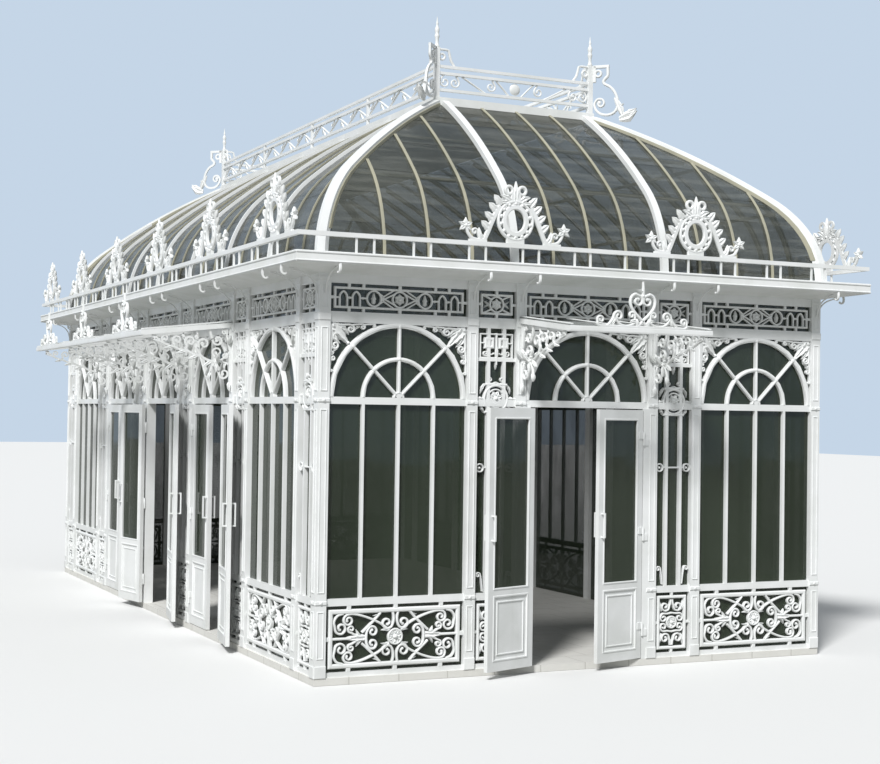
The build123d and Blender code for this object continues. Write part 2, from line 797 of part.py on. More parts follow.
def buildRidgeRailing():
    inset = ridge_post / 2 + 10
    half_x = width / 2 - roof_inset - inset
    half_y = length / 2 - roof_end_inset - inset
    post_top = ridge_post_height
    panel = ridgePanel(2 * half_x - ridge_post)
    parts = [Pos(-half_x + ridge_post / 2, 0, 0) * part for part in panel]
    for side in (-1, 1):
        parts.append(Pos(side * half_x, 0, post_top / 2) * Box(ridge_post, ridge_post, post_top))
    front = Pos(0, -half_y, platform_top) * fuse(parts)
    save("ridge_railing_ends", Compound(children=[front, Rot(0, 0, 180) * front]))
    run = 2 * half_y - ridge_post
    parts = ridgePanel(run)
    for index in range(ridge_posts_between):
        u = run * (index + 1) / (ridge_posts_between + 1)
        parts.append(blockOf(u - 15, u + 15, -15, 15, 0, ridge_top_rail))
    left = Pos(-half_x, half_y - ridge_post / 2, platform_top) * Rot(0, 0, -90) * fuse(parts)
    save("ridge_railing_sides", Compound(children=[left, Rot(0, 0, 180) * left]))
    corners = [(sx * half_x, sy * half_y, math.degrees(math.atan2(sy, sx))) for sx in (-1, 1) for sy in (-1, 1)]
    spikes = [Pos(x, y, platform_top + post_top) * finialOf() for x, y, turn in corners]
    save("ridge_finials", Compound(children=spikes))
    scroll = slabOf(cornerScroll(), -ridge_scroll_thickness / 2, ridge_scroll_thickness / 2)
    seat = ridge_post / math.sqrt(2) + glass_gap
    scrolls = [Pos(x, y, platform_top) * Rot(0, 0, turn) * Pos(seat, 0, 0) * scroll
               for x, y, turn in corners]
    save("ridge_scrolls", Compound(children=scrolls))


# Canopies over the doorways

def canopyFrame(span, arms):
    """Canopy from u = 0 to span, its wall at v = 0: sloping arms and a beam along the front."""
    half = canopy_beam / 2
    z_front = canopy_wall_height - canopy_drop
    parts = [blockOf(-half, span + half, -canopy_reach - half, -canopy_reach + half, z_front - half, z_front + half)]
    points = [(0, canopy_wall_height - half), (0, canopy_wall_height + half),
              (-canopy_reach, z_front + half), (-canopy_reach, z_front - half)]
    arm_face = make_face(Polyline(*points, close=True))
    for u in arms:
        plane = Plane(origin=(u - half, 0, 0), x_dir=(0, 1, 0), z_dir=(1, 0, 0))
        parts.append(extrude(plane * arm_face, amount=canopy_beam))
    return fuse(parts)


def canopyGlass(span):
    half = canopy_beam / 2
    z_front = canopy_wall_height - canopy_drop
    lift = half + glass_gap
    points = [(0, canopy_wall_height + lift), (0, canopy_wall_height + lift + canopy_glass_thickness),
              (-canopy_reach, z_front + lift + canopy_glass_thickness), (-canopy_reach, z_front + lift)]
    face = make_face(Polyline(*points, close=True))
    plane = Plane(origin=(-half, 0, 0), x_dir=(0, 1, 0), z_dir=(1, 0, 0))
    return extrude(plane * face, amount=span + canopy_beam)


def canopyBracket():
    """Scroll bracket under an arm, drawn as outward reach and height under the arm."""
    half = canopy_beam / 2
    slope = canopy_drop / canopy_reach
    top0 = canopy_wall_height - half
    outer = [(0, top0), (-canopy_reach * 0.86, top0 - slope * canopy_reach * 0.86)]
    arc = ThreePointArc(outer[1], (-canopy_reach * 0.30, top0 - bracket_drop * 0.42), (0, top0 - bracket_drop))
    inner = ThreePointArc((0, top0 - bracket_drop + 90), (-canopy_reach * 0.26, top0 - bracket_drop * 0.36),
                          (-canopy_reach * 0.74, top0 - slope * canopy_reach * 0.74))
    edges = [arc, Line((0, top0 - bracket_drop), (0, top0 - bracket_drop + 90)), inner,
             Line((-canopy_reach * 0.74, top0 - slope * canopy_reach * 0.74), outer[1])]
    face = make_face(Wire(edges))
    plane = Plane(origin=(-bracket_thickness / 2, 0, 0), x_dir=(0, 1, 0), z_dir=(1, 0, 0))
    return extrude(plane * face, amount=bracket_thickness)


def canopyCrest():
    """Lyre of two scrolls with a spike, and a low scroll each side, standing on z = 0."""
    tall = canopy_crest_height
    wide = canopy_crest_half_width
    outline = rect(-canopy_crest_band / 2, canopy_crest_band / 2, 0, tall)
    outline += outlineOf([(-canopy_crest_band, tall), (canopy_crest_band, tall), (0, tall + canopy_spike)])
    outline += rect(-wide, wide, 0, canopy_crest_band)
    for side in (-1, 1):
        lyre = bendPoints((0, tall * 0.1), (side * wide * 0.3, tall * 0.25), (side * wide * 0.5, tall * 0.5),
                          (side * wide * 0.36, tall * 0.76), 5)
        curl = spiralPoints(side * wide * 0.18, tall * 0.74, wide * 0.18, wide * 0.07, 90 - side * 90,
                            90 + side * 200, scroll_sides)
        outline += strokeOf(lyre, canopy_crest_band, canopy_crest_band)
        outline += strokeOf(curl, canopy_crest_band, canopy_crest_band * 0.7)
        low = spiralPoints(side * wide * 0.72, wide * 0.2 + canopy_crest_band / 2, wide * 0.2, wide * 0.08, -90,
                           -90 - side * 330, scroll_sides)
        outline += strokeOf(low, canopy_crest_band, canopy_crest_band * 0.7)
    return outline


def doorPosts(bays):
    """Centres of the posts at each side of each doorway."""
    starts = bayStarts(bays)
    centres = []
    for index, bay in enumerate(bays):
        if bay == "D":
            centres += [starts[index] - post_size / 2, starts[index] + window_clear + post_size / 2]
    return centres


def buildCanopies():
    crests = []
    for name, place, bays in (("front_canopy", front_place, front_bays),
                              ("side_canopy", left_place, long_bays_left)):
        centres = doorPosts(bays)
        start = centres[0]
        span = centres[-1] - start
        arms = [centre - start for centre in centres]
        local = place * Pos(start, 0, 0)
        save(name + "_frame", local * canopyFrame(span, arms))
        save(name + "_glass", local * canopyGlass(span))
        brackets = [local * Pos(u, 0, 0) * canopyBracket() for u in arms]
        save(name + "_brackets", Compound(children=brackets))
        v0 = -canopy_reach - glass_gap - canopy_crest_thickness
        crest = Pos(0, 0, canopy_wall_height - canopy_drop + canopy_beam / 2) * slabOf(
            canopyCrest(), v0, v0 + canopy_crest_thickness)
        crests += [local * Pos((a + b) / 2, 0, 0) * crest for a, b in zip(arms[::2], arms[1::2])]
    save("canopy_crests", Compound(children=crests))


def main():
    os.makedirs("parts", exist_ok=True)
    buildWalls()
    buildDoors()
    buildEave()
    buildEaveRailings()
    buildRoof()
    buildRidgeRailing()
    buildCanopies()
    print("width", width, "length", length, "wall top", wall_top, "eave top", eave_top,
          "platform bottom", round(platform_bottom, 1))


main()
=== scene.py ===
import math

import bpy
import numpy as np
from mathutils import Matrix, Vector


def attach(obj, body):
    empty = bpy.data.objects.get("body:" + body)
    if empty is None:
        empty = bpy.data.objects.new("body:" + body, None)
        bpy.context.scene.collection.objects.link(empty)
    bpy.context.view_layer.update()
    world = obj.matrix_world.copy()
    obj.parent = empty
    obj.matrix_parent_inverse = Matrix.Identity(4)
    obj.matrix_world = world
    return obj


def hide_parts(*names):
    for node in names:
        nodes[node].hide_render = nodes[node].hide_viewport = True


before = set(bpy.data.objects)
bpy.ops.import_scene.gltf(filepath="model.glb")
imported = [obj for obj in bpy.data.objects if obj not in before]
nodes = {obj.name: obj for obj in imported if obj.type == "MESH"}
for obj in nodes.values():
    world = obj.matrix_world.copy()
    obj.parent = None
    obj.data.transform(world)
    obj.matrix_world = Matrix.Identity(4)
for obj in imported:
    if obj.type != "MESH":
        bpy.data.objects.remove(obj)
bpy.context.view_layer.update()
print("frame loaded:", len(nodes), "nodes")

# The building, metres. Heights are from the ground, depths run inward from a wall's outer face.
building = {
    "width": 5.12,
    "length": 9.72,
    "post": 0.10,
    "window": 1.26,
    "pier": 0.37,
    "panelBottom": 0.10,
    "sillBottom": 0.645,
    "transomTop": 2.37,
    "friezeRailBottom": 2.985,
    "friezeRailTop": 3.075,
    "plateBottom": 3.31,
    "fasciaBottom": 3.437,
    "eaveTop": 3.53,
}
half = {"x": building["width"] / 2, "y": building["length"] / 2}
walls = {
    "front": {"turn": 0, "corner": (-half["x"], -half["y"]), "bays": "WPDPW"},
    "right": {"turn": 90, "corner": (half["x"], -half["y"]), "bays": "PWPWPWPWPWP"},
    "back": {"turn": 180, "corner": (half["x"], half["y"]), "bays": "WPWPW"},
    "left": {"turn": 270, "corner": (-half["x"], half["y"]), "bays": "PWPDPDPDPWP"},
}


def wallMatrix(name):  # from along the wall, inward and up to the shared frame
    wall = walls[name]
    place = Matrix.Translation((wall["corner"][0], wall["corner"][1], 0))
    return place @ Matrix.Rotation(math.radians(wall["turn"]), 4, "Z")


def bayCentres(name):  # (kind, centre along the wall, clear width) of each bay
    found = []
    along = building["post"]
    for kind in walls[name]["bays"]:
        clear = building["pier"] if kind == "P" else building["window"]
        found.append((kind, along + clear / 2, clear))
        along += clear + building["post"]
    return found


def postCentres(name):
    halfPost = building["post"] / 2
    return [halfPost] + [centre + clear / 2 + halfPost for kind, centre, clear in bayCentres(name)]


# Mesh making. A part is its points (along, inward, up) and its faces.

def joined(parts):
    points = []
    faces = []
    start = 0
    for partPoints, partFaces in parts:
        points.append(partPoints)
        faces += [tuple(index + start for index in face) for face in partFaces]
        start += len(partPoints)
    return np.concatenate(points), faces


def shifted(part, along=0.0, inward=0.0, up=0.0):
    return part[0] + np.array((along, inward, up)), part[1]


def mirrored(part, along=False, up=False):
    flip = np.array((-1 if along else 1, 1, -1 if up else 1))
    return part[0] * flip, [face[::-1] for face in part[1]] if along != up else part[1]


def bothSides(part):
    return joined([part, mirrored(part, along=True)])


def fourTimes(part):
    pair = bothSides(part)
    return joined([pair, mirrored(pair, up=True)])


def placed(part, matrix):
    turn = np.array(matrix.to_3x3())
    return part[0] @ turn.T + np.array(matrix.translation), part[1]


def crosswise(part, along):  # drawn as reach from the wall and height, stood square to the wall
    points = part[0]
    turned = np.stack([points[:, 1] + along, -points[:, 0], points[:, 2]], 1)
    return turned, part[1]


def smooth(points, steps=3):  # rounded line through the points
    points = np.asarray(points, float)
    line = np.vstack([2 * points[0] - points[1], points, 2 * points[-1] - points[-2]])
    found = []
    for index in range(1, len(line) - 2):
        a, b, c, d = line[index - 1:index + 3]
        for step in range(steps):
            t = step / steps
            found.append(0.5 * (2 * b + (c - a) * t + (2 * a - 5 * b + 4 * c - d) * t * t
                                + (3 * b - a - 3 * c + d) * t ** 3))
    found.append(points[-1])
    return np.array(found)


def polar(centre, reach, turn):
    return centre[0] + reach * math.cos(turn), centre[1] + reach * math.sin(turn)


def coil(eye, radius, start, sweep, last=0.28, step=55):  # spiral points in towards an eye
    count = max(2, round(abs(sweep) / step))
    found = []
    for index in range(count + 1):
        share = index / count
        found.append(polar(eye, radius * (1 + (last - 1) * share), math.radians(start + sweep * share)))
    return found


def circlePoints(along, up, radius, count=24, tall=None):
    tall = tall or radius
    return [(along + radius * math.cos(math.tau * k / count), up + tall * math.sin(math.tau * k / count))
            for k in range(count)]


def sideways(path, closed=False):  # unit directions across a line
    ahead = np.roll(path, -1, 0) - np.roll(path, 1, 0) if closed else np.gradient(path, axis=0)
    ahead = ahead / np.maximum(np.linalg.norm(ahead, axis=1, keepdims=True), 1e-9)
    return np.stack([-ahead[:, 1], ahead[:, 0]], 1)


def tubeFaces(count, sides, closed=False):  # skin over rings of points, with caps where it isn't closed
    faces = []
    for index in range(count if closed else count - 1):
        a = index * sides
        b = (index + 1) % count * sides
        for k in range(sides):
            faces.append((a + k, b + k, b + (k + 1) % sides, a + (k + 1) % sides))
    if not closed:
        last = count * sides - 1
        faces += [tuple(range(sides)), tuple(range(last, last - sides, -1))]
    return faces


def roundFaces(rings, sides):  # base and sides of a turned form
    faces = [tuple(range(sides - 1, -1, -1))]
    for a in range(0, (rings - 1) * sides, sides):
        for k in range(sides):
            faces.append((a + k, a + (k + 1) % sides, a + sides + (k + 1) % sides, a + sides + k))
    return faces


depthSpread = 0.0009


def ownDepth(path):  # parts that cross never share a face
    return depthSpread * ((path[0][0] * 37.3 + path[0][1] * 91.7) % 1.0)


def barSection(width, front, back, bevel):
    cut = bevel * min(width, back - front)
    return ((width / 2, back), (width / 2, front + cut), (width / 2 - cut, front),
            (cut - width / 2, front), (-width / 2, front + cut), (-width / 2, back))


def barAlong(path, width, front, back, closed=False, tip=1.0, bevel=0.3):
    path = np.asarray(path, float)
    front, back = front - ownDepth(path), back - ownDepth(path)
    count = len(path)
    across = sideways(path, closed)
    scale = 1 + (tip - 1) * np.linspace(0, 1, count)[:, None]
    rings = []
    for side, depth in barSection(width, front, back, bevel):
        flat = path + across * side * scale
        rings.append(np.stack([flat[:, 0], np.full(count, depth), flat[:, 1]], 1))
    return np.stack(rings, 1).reshape(-1, 3), tubeFaces(count, len(rings), closed)


def rectangleBar(along, up, halfAlong, halfUp, width, front, back, bevel=0.3):
    section = barSection(width, front, back, bevel)
    corners = ((-1, -1), (1, -1), (1, 1), (-1, 1))
    points = [(along + sa * (halfAlong + side), depth, up + su * (halfUp + side))
              for sa, su in corners for side, depth in section]
    return np.array(points), tubeFaces(len(corners), len(section), closed=True)


def block(along0, along1, front, back, up0, up1, bevel=0.003):
    section = []
    for depth, inset in ((back, 0), (front + bevel, 0), (front, bevel)):
        section.append([(along0 + inset, depth, up0 + inset), (along1 - inset, depth, up0 + inset),
                        (along1 - inset, depth, up1 - inset), (along0 + inset, depth, up1 - inset)])
    faces = [(3, 2, 1, 0), (8, 9, 10, 11)]
    for level in (0, 4):
        for k in range(4):
            faces.append((level + k, level + (k + 1) % 4, level + 4 + (k + 1) % 4, level + 4 + k))
    return np.array([point for ring in section for point in ring]), faces


def dome(along, up, radius, seat, rise, sides=10, rings=3):
    seat += ownDepth([(along, up)])
    points = []
    for ring in range(rings):
        angle = math.pi / 2 * ring / rings
        for k in range(sides):
            turn = math.tau * k / sides
            points.append((along + radius * math.cos(angle) * math.cos(turn), seat - rise * math.sin(angle),
                           up + radius * math.cos(angle) * math.sin(turn)))
    points.append((along, seat - rise, up))
    last = (rings - 1) * sides
    fan = [(last + k, last + (k + 1) % sides, last + sides) for k in range(sides)]
    return np.array(points), roundFaces(rings, sides) + fan


def leafAlong(path, width, seat, rise, lobes=4, steps=3):  # cast leaf with a groove down its middle
    path = smooth(path, max(2, lobes * steps // (len(path) - 1)))
    seat += ownDepth(path[1:])
    across = sideways(path)
    share = np.linspace(0, 1, len(path))
    outline = np.sin(np.pi * (0.12 + 0.88 * share) ** 0.8) ** 0.75
    scallop = 1 - 0.34 * np.abs(np.cos(np.pi * lobes * share))
    reach = np.maximum(width / 2 * outline * scallop, 0.0015)[:, None]
    lift = (0.35 + 0.65 * np.sin(np.pi * np.clip(share, 0.02, 0.98)))[:, None]
    rings = []
    for side, height in ((-1, 0.0), (-1, 0.3), (-0.5, 1.0), (0, 0.55), (0.5, 1.0), (1, 0.3), (1, 0.0)):
        flat = path + across * side * reach
        depth = seat - rise * height * lift[:, 0]
        rings.append(np.stack([flat[:, 0], depth, flat[:, 1]], 1))
    return np.stack(rings, 1).reshape(-1, 3), tubeFaces(len(path), len(rings))


def twoSided(part):  # relief on both faces of a casting that stands free about depth 0
    return joined([part, (part[0] * np.array((1, -1, 1)), [face[::-1] for face in part[1]])])


def freeLeaf(path, width, lobes=3, rise=0.019):
    return twoSided(leafAlong(path, width, 0.0, rise, lobes))


def freeDome(along, up, radius, rise=0.020, sides=10):
    return twoSided(dome(along, up, radius, 0.0, rise, sides, 3))


def rosette(along, up, radius, seat, rise, petals=8):
    parts = [dome(along, up, radius * 0.34, seat, rise * 1.5, 10, 3)]
    for k in range(petals):
        angle = math.tau * (k + 0.5) / petals
        inner = polar((along, up), radius * 0.2, angle)
        outer = polar((along, up), radius, angle)
        middle = ((inner[0] + outer[0]) / 2, (inner[1] + outer[1]) / 2)
        parts.append(leafAlong([inner, middle, outer], radius * 5.2 / petals, seat, rise, 1, 6))
    return joined(parts)


def curl(stem, eye, radius, start, sweep, width, front, back, tip=0.75):
    spiral = coil(eye, radius, start, sweep)
    parts = [barAlong(smooth(list(stem) + spiral), width, front, back, tip=tip)]
    parts.append(dome(spiral[-1][0], spiral[-1][1], width * 0.75, back - 0.001, (back - front) * 1.1, 8, 2))
    return joined(parts)


def lathe(profile, centre, sides=16):  # profile as (radius, height)
    points = []
    for radius, height in profile:
        for k in range(sides):
            turn = math.tau * k / sides
            points.append((centre[0] + radius * math.cos(turn), centre[1] + radius * math.sin(turn),
                           centre[2] + height))
    top = tuple(range(len(points) - sides, len(points)))
    return np.array(points), roundFaces(len(profile), sides) + [top]


class Casting:  # bars, rings, scrolls and leaves that share one front, back and width
    def __init__(self, look):
        self.front, self.back, self.width = look["front"], look["back"], look["bar"]

    def bar(self, points, share=1.0, proud=0.0):
        return barAlong(points, self.width * share, self.front - proud, self.back)

    def ring(self, along, up, radius, count, share=1.0, proud=0.0):
        points = circlePoints(along, up, radius, count)
        return barAlong(points, self.width * share, self.front - proud, self.back, closed=True)

    def frame(self, along, up, halfAlong, halfUp, width, proud=0.0):
        return rectangleBar(along, up, halfAlong, halfUp, width, self.front - proud, self.back)

    def curl(self, stem, eye, radius, start, sweep, share=1.0):
        return curl(stem, eye, radius, start, sweep, self.width * share, self.front, self.back)

    def leaf(self, points, width, rise, lobes):
        return leafAlong(points, width, self.back, rise, lobes)

    def boss(self, along, up, radius, rise, sides=8, rings=2):
        return dome(along, up, radius, self.back, rise, sides, rings)

    def upLug(self, side, reach, edge, size, along=0.0):  # holds a frame to the rail over or under it
        low, high = sorted((side * reach, side * edge))
        return block(along - size, along + size, self.front, self.back, low, high)

    def sideLug(self, side, reach, edge, size):  # holds a frame to the post beside it
        low, high = sorted((side * reach, side * edge))
        return block(low, high, self.front, self.back, -size, size)


triangles = {}
sharpAngle = 38


def addObject(name, data):
    thing = bpy.data.objects.new(name, data)
    bpy.context.scene.collection.objects.link(thing)
    return thing


def makePiece(name, part, material, body="house", replaces=()):
    points, faces = part
    mesh = bpy.data.meshes.new(name)
    mesh.from_pydata(points.tolist(), [], faces)
    mesh.validate()
    mesh.polygons.foreach_set("use_smooth", [True] * len(mesh.polygons))
    piece = addObject(name, mesh)
    bpy.context.view_layer.objects.active = piece
    piece.select_set(True)
    bpy.ops.object.mode_set(mode="EDIT")
    bpy.ops.mesh.select_all(action="SELECT")
    bpy.ops.mesh.normals_make_consistent(inside=False)
    bpy.ops.object.mode_set(mode="OBJECT")
    piece.select_set(False)
    mesh.set_sharp_from_angle(angle=math.radians(sharpAngle))
    mesh.materials.append(material)
    triangles[name] = sum(len(polygon.vertices) - 2 for polygon in mesh.polygons)
    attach(piece, body)
    if replaces:
        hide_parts(*replaces)
    return piece


# Finishes

class Wire:  # a socket that can be added, subtracted and multiplied
    def __init__(self, tree, socket):
        self.tree = tree
        self.socket = socket

    def maths(self, operation, first, second):
        node = self.tree.nodes.new("ShaderNodeMath")
        node.operation = operation
        for number, value in enumerate((first, second)):
            if isinstance(value, Wire):
                self.tree.links.new(value.socket, node.inputs[number])
            else:
                node.inputs[number].default_value = value
        return Wire(self.tree, node.outputs[0])

    def __add__(self, other):
        return self.maths("ADD", self, other)

    def __radd__(self, other):
        return self.maths("ADD", other, self)

    def __sub__(self, other):
        return self.maths("SUBTRACT", self, other)

    def __rsub__(self, other):
        return self.maths("SUBTRACT", other, self)

    def __mul__(self, other):
        return self.maths("MULTIPLY", self, other)

    def __rmul__(self, other):
        return self.maths("MULTIPLY", other, self)

    def clamped(self):
        return self.maths("MINIMUM", self.maths("MAXIMUM", self, 0.0), 1.0)


class Finish:  # one material and the nodes that make it
    def __init__(self, name, settings):
        self.material = bpy.data.materials.new(name)
        self.material.use_nodes = True
        self.tree = self.material.node_tree
        self.shader = self.tree.nodes["Principled BSDF"]
        for socket, value in settings.items():
            self.shader.inputs[socket].default_value = value
        self.place = self.node("ShaderNodeTexCoord", {}, {}, "Object")

    def node(self, kind, settings, inputs, output=0):
        node = self.tree.nodes.new(kind)
        for key, value in settings.items():
            if key == "stops":
                ramp = node.color_ramp.elements
                ramp[0].position, ramp[0].color = value[0]
                ramp[1].position, ramp[1].color = value[-1]
                for position, colour in value[1:-1]:
                    ramp.new(position).color = colour
            else:
                setattr(node, key, value)
        for socket, value in inputs.items():
            if isinstance(value, Wire):
                self.tree.links.new(value.socket, node.inputs[socket])
            else:
                node.inputs[socket].default_value = value
        return Wire(self.tree, node.outputs[output])

    def noise(self, scale, detail=3.0, stretch=(1, 1, 1), roughness=0.5):
        where = self.node("ShaderNodeVectorMath", {"operation": "MULTIPLY"}, {0: self.place, 1: stretch})
        return self.node("ShaderNodeTexNoise", {"noise_dimensions": "3D"},
                         {"Vector": where, "Scale": scale, "Detail": detail, "Roughness": roughness}, "Fac")

    def ramp(self, factor, low, high):
        return self.node("ShaderNodeMapRange", {"interpolation_type": "SMOOTHSTEP"},
                         {"Value": factor, "From Min": low, "From Max": high}, "Result")

    def mix(self, factor, first, second):
        return self.node("ShaderNodeMix", {"data_type": "RGBA"}, {0: factor, 6: first, 7: second}, 2)

    def bump(self, height, distance, strength=1.0, under=None):
        inputs = {"Height": height, "Distance": distance, "Strength": strength}
        if under:
            inputs["Normal"] = under
        return self.node("ShaderNodeBump", {}, inputs, "Normal")

    def feed(self, socket, wire):
        self.tree.links.new(wire.socket, self.shader.inputs[socket])


paintLook = {
    "clean": (0.875, 0.885, 0.88, 1),
    "chalky": (0.80, 0.815, 0.80, 1),
    "grime": (0.47, 0.475, 0.43, 1),
    "grimeAmount": 0.30,
    "roughness": 0.34,
}


def paintedIron(name, look):
    paint = Finish(name, {"Specular IOR Level": 0.5, "Coat Roughness": 0.2})
    patches = paint.ramp(paint.noise(3.1, 4.0), 0.35, 0.72)
    streaks = paint.ramp(paint.noise(9.0, 4.0, (1, 1, 0.09)), 0.56, 0.86)
    specks = paint.ramp(paint.noise(70.0, 2.0), 0.66, 0.8)
    height = paint.node("ShaderNodeSeparateXYZ", {}, {"Vector": paint.place}, "Z")
    splash = 1 - paint.ramp(height, 0.04, 0.55)
    dirt = (streaks * 0.45 + specks * 0.35 + splash * 0.5 * patches + 0.10 * patches) * look["grimeAmount"]
    colour = paint.mix(patches, look["clean"], look["chalky"])
    paint.feed("Base Color", paint.mix(dirt.clamped(), colour, look["grime"]))
    paint.feed("Roughness", (look["roughness"] + 0.18 * patches + 0.2 * dirt).clamped())
    brushed = paint.bump(paint.noise(160.0, 2.0, (1, 1, 0.25)), 0.0006, 0.35)
    cast = paint.bump(paint.noise(26.0, 3.0), 0.0014, 0.4, brushed)
    paint.feed("Normal", cast)
    return paint.material


def tintedGlass(name, look):
    glass = Finish(name, {"Specular IOR Level": 0.5, "IOR": 1.5})
    drift = glass.ramp(glass.noise(look["drift"], 2.0), 0.3, 0.7)
    film = glass.ramp(glass.noise(6.5, 5.0, (1, 1, 0.5)), 0.45, 0.85)
    bands = glass.ramp(glass.noise(1.3, 4.0, (1, 1, 14), 0.6), 0.42, 0.66) * look["bands"]
    # drift and bands mix towards the pale tone; on the roof glass these pale patches and bands are painted
    # reflections of sky and trees, the bands also standing for shading mats under the glass
    glass.feed("Base Color", glass.mix((drift * 0.6 + bands).clamped(), look["dark"], look["pale"]))
    glass.feed("Roughness", 0.03 + 0.10 * film)
    glass.feed("Alpha", (look["solid"] + 0.10 * drift + 0.08 * film).clamped())
    glass.feed("Normal", glass.bump(glass.noise(1.7, 1.0), 0.012, 0.15))
    glass.material.surface_render_method = "BLENDED"
    return glass.material


def pavedStone(name, look):
    stone = Finish(name, {"Specular IOR Level": 0.35})
    settings = {"offset": 0.5, "squash": 1.0}
    pattern = {"Vector": stone.place, "Scale": 1.0, "Mortar Size": look["gap"], "Mortar Smooth": 0.3,
               "Brick Width": look["size"], "Row Height": look["size"]}
    colours = {"Color1": look["tileA"], "Color2": look["tileB"], "Mortar": look["joint"]}
    tiles = stone.node("ShaderNodeTexBrick", settings, {**pattern, **colours}, "Color")
    joints = stone.node("ShaderNodeTexBrick", settings, pattern, "Fac")
    cloud = stone.ramp(stone.noise(5.0, 6.0, roughness=0.6), 0.3, 0.75)
    grain = stone.noise(140.0, 3.0)
    colour = stone.mix(0.35 * cloud, tiles, look["stain"])
    stone.feed("Base Color", stone.mix(0.12 * grain, colour, look["joint"]))
    stone.feed("Roughness", (0.55 + 0.2 * cloud + 0.15 * joints).clamped())
    stone.feed("Normal", stone.bump((1 - joints) * 0.8 + 0.1 * grain + 0.15 * cloud, 0.004, 0.6))
    return stone.material


ironPaint = paintedIron("house white iron paint", paintLook)
# cream tone darkened well below the white iron paint: painted shade, for bars seen in shade under the roof
# glass
shadedCreamPaint = paintedIron("cream inner bar paint", {
    "clean": (0.41, 0.39, 0.29, 1),
    "chalky": (0.34, 0.33, 0.25, 1),
    "grime": (0.20, 0.19, 0.14, 1),
    "grimeAmount": 0.35,
    "roughness": 0.5,
})
eavePaint = paintedIron("eave board paint", {
    "clean": (0.87, 0.88, 0.87, 1),
    "chalky": (0.80, 0.815, 0.79, 1),
    "grime": (0.42, 0.43, 0.38, 1),
    "grimeAmount": 0.34,
    "roughness": 0.42,
})
# pale patches and horizontal bands: painted reflections of sky and trees, the bands also standing for shading
# mats under the glass
roofGlass = tintedGlass("smoky roof glass with painted reflections", {
    "dark": (0.028, 0.032, 0.022, 1),
    "pale": (0.135, 0.140, 0.118, 1),
    "solid": 0.44,
    "drift": 0.55,
    "bands": 0.75,
})
wallGlass = tintedGlass("green grey wall glass", {
    "dark": (0.022, 0.032, 0.018, 1),
    "pale": (0.052, 0.068, 0.046, 1),
    "solid": 0.66,
    "drift": 0.6,
    "bands": 0.0,
})
canopyGlass = tintedGlass("clear canopy glass", {
    "dark": (0.16, 0.19, 0.17, 1),
    "pale": (0.26, 0.29, 0.27, 1),
    "solid": 0.07,
    "drift": 0.6,
    "bands": 0.0,
})
floorStone = pavedStone("pale floor tiles", {
    "tileA": (0.80, 0.79, 0.75, 1),
    "tileB": (0.76, 0.75, 0.71, 1),
    "joint": (0.58, 0.57, 0.53, 1),
    "stain": (0.64, 0.63, 0.58, 1),
    "size": 0.45,
    "gap": 0.006,
})

for name, node in nodes.items():
    if "glass" in name:
        finish = roofGlass if name.startswith("roof") else canopyGlass if "canopy" in name else wallGlass
    elif name == "floor_slab":
        finish = floorStone
    elif name.startswith("eave_ends") or name.startswith("eave_sides") or name == "ridge_platform":
        finish = eavePaint
    else:
        finish = ironPaint
    node.data.materials.clear()
    node.data.materials.append(finish)
print("finishes made")


def wallPiece(wall, kind, parts, finish=ironPaint, replaces=()):  # drawn along the wall, inward and up
    makePiece(wall + "_" + kind, placed(joined(parts), wallMatrix(wall)), finish, replaces=replaces)


def halfField(clear, low, high):  # half width and half height of a field between posts and rails
    return building[clear] / 2, (building[high] - building[low]) / 2


# Lower panels: a framed field of scrolls under each window

lowerPanel = {
    "gap": 0.03,
    "border": 0.038,
    "bar": 0.020,
    "front": 0.016,
    "back": 0.045,
    "rosette": 0.062,
    "lugs": (0, -0.42, 0.42),
    "lugSize": 0.018,
    "pierLugSize": 0.012,
}


def windowPanel():
    look = lowerPanel
    halfAlong, halfUp = halfField("window", "panelBottom", "sillBottom")
    inset = look["gap"] + look["border"] / 2
    cast = Casting(look)
    parts = [cast.frame(0, 0, halfAlong - inset, halfUp - inset, look["border"], 0.004)]
    for side in (-1, 1):
        for along in look["lugs"]:
            parts.append(cast.upLug(side, halfUp - look["gap"] - 0.004, halfUp, look["lugSize"], along))
        parts.append(cast.sideLug(side, halfAlong - look["gap"] - 0.004, halfAlong, look["lugSize"]))
    quarter = [
        cast.curl([(0.055, 0.055), (0.12, 0.105), (0.19, 0.142), (0.27, 0.174), (0.35, 0.196)],
                  (0.42, 0.15), 0.052, 100, -480),
        cast.bar(smooth([(0.30, 0.045), (0.25, 0.09), (0.19, 0.145), (0.135, 0.205)])),
        cast.curl([(0.024, 0.206), (0.016, 0.17)], (0.075, 0.118), 0.057, 175, 430),
        cast.curl([(0.47, 0.208), (0.522, 0.19), (0.55, 0.145)], (0.488, 0.088), 0.058, 15, -430),
        cast.curl([(0.335, 0.018), (0.365, 0.03)], (0.397, 0.078), 0.034, -100, 420, 0.85),
        cast.curl([(0.262, 0.0), (0.26, 0.03)], (0.205, 0.05), 0.05, 5, 430),
        cast.leaf([(0.30, 0.004), (0.33, 0.035), (0.35, 0.072)], 0.034, 0.032, 2),
        cast.leaf([(0.13, 0.205), (0.16, 0.185), (0.20, 0.178)], 0.026, 0.03, 2),
        cast.leaf([(0.05, 0.05), (0.085, 0.06), (0.125, 0.055)], 0.03, 0.03, 2),
    ]
    parts.append(fourTimes(joined(quarter)))
    spine = [cast.bar([(0.40, 0), (0.49, 0), (0.565, 0)]),
             cast.leaf([(0.255, 0), (0.35, 0), (0.455, 0)], 0.080, 0.036, 3)]
    parts.append(bothSides(joined(spine)))
    parts.append(rosette(0, 0, look["rosette"] * 1.15, cast.back - 0.005, 0.026, 8))
    parts.append(cast.ring(0, 0, look["rosette"], 20, 0.8))
    return joined(parts)


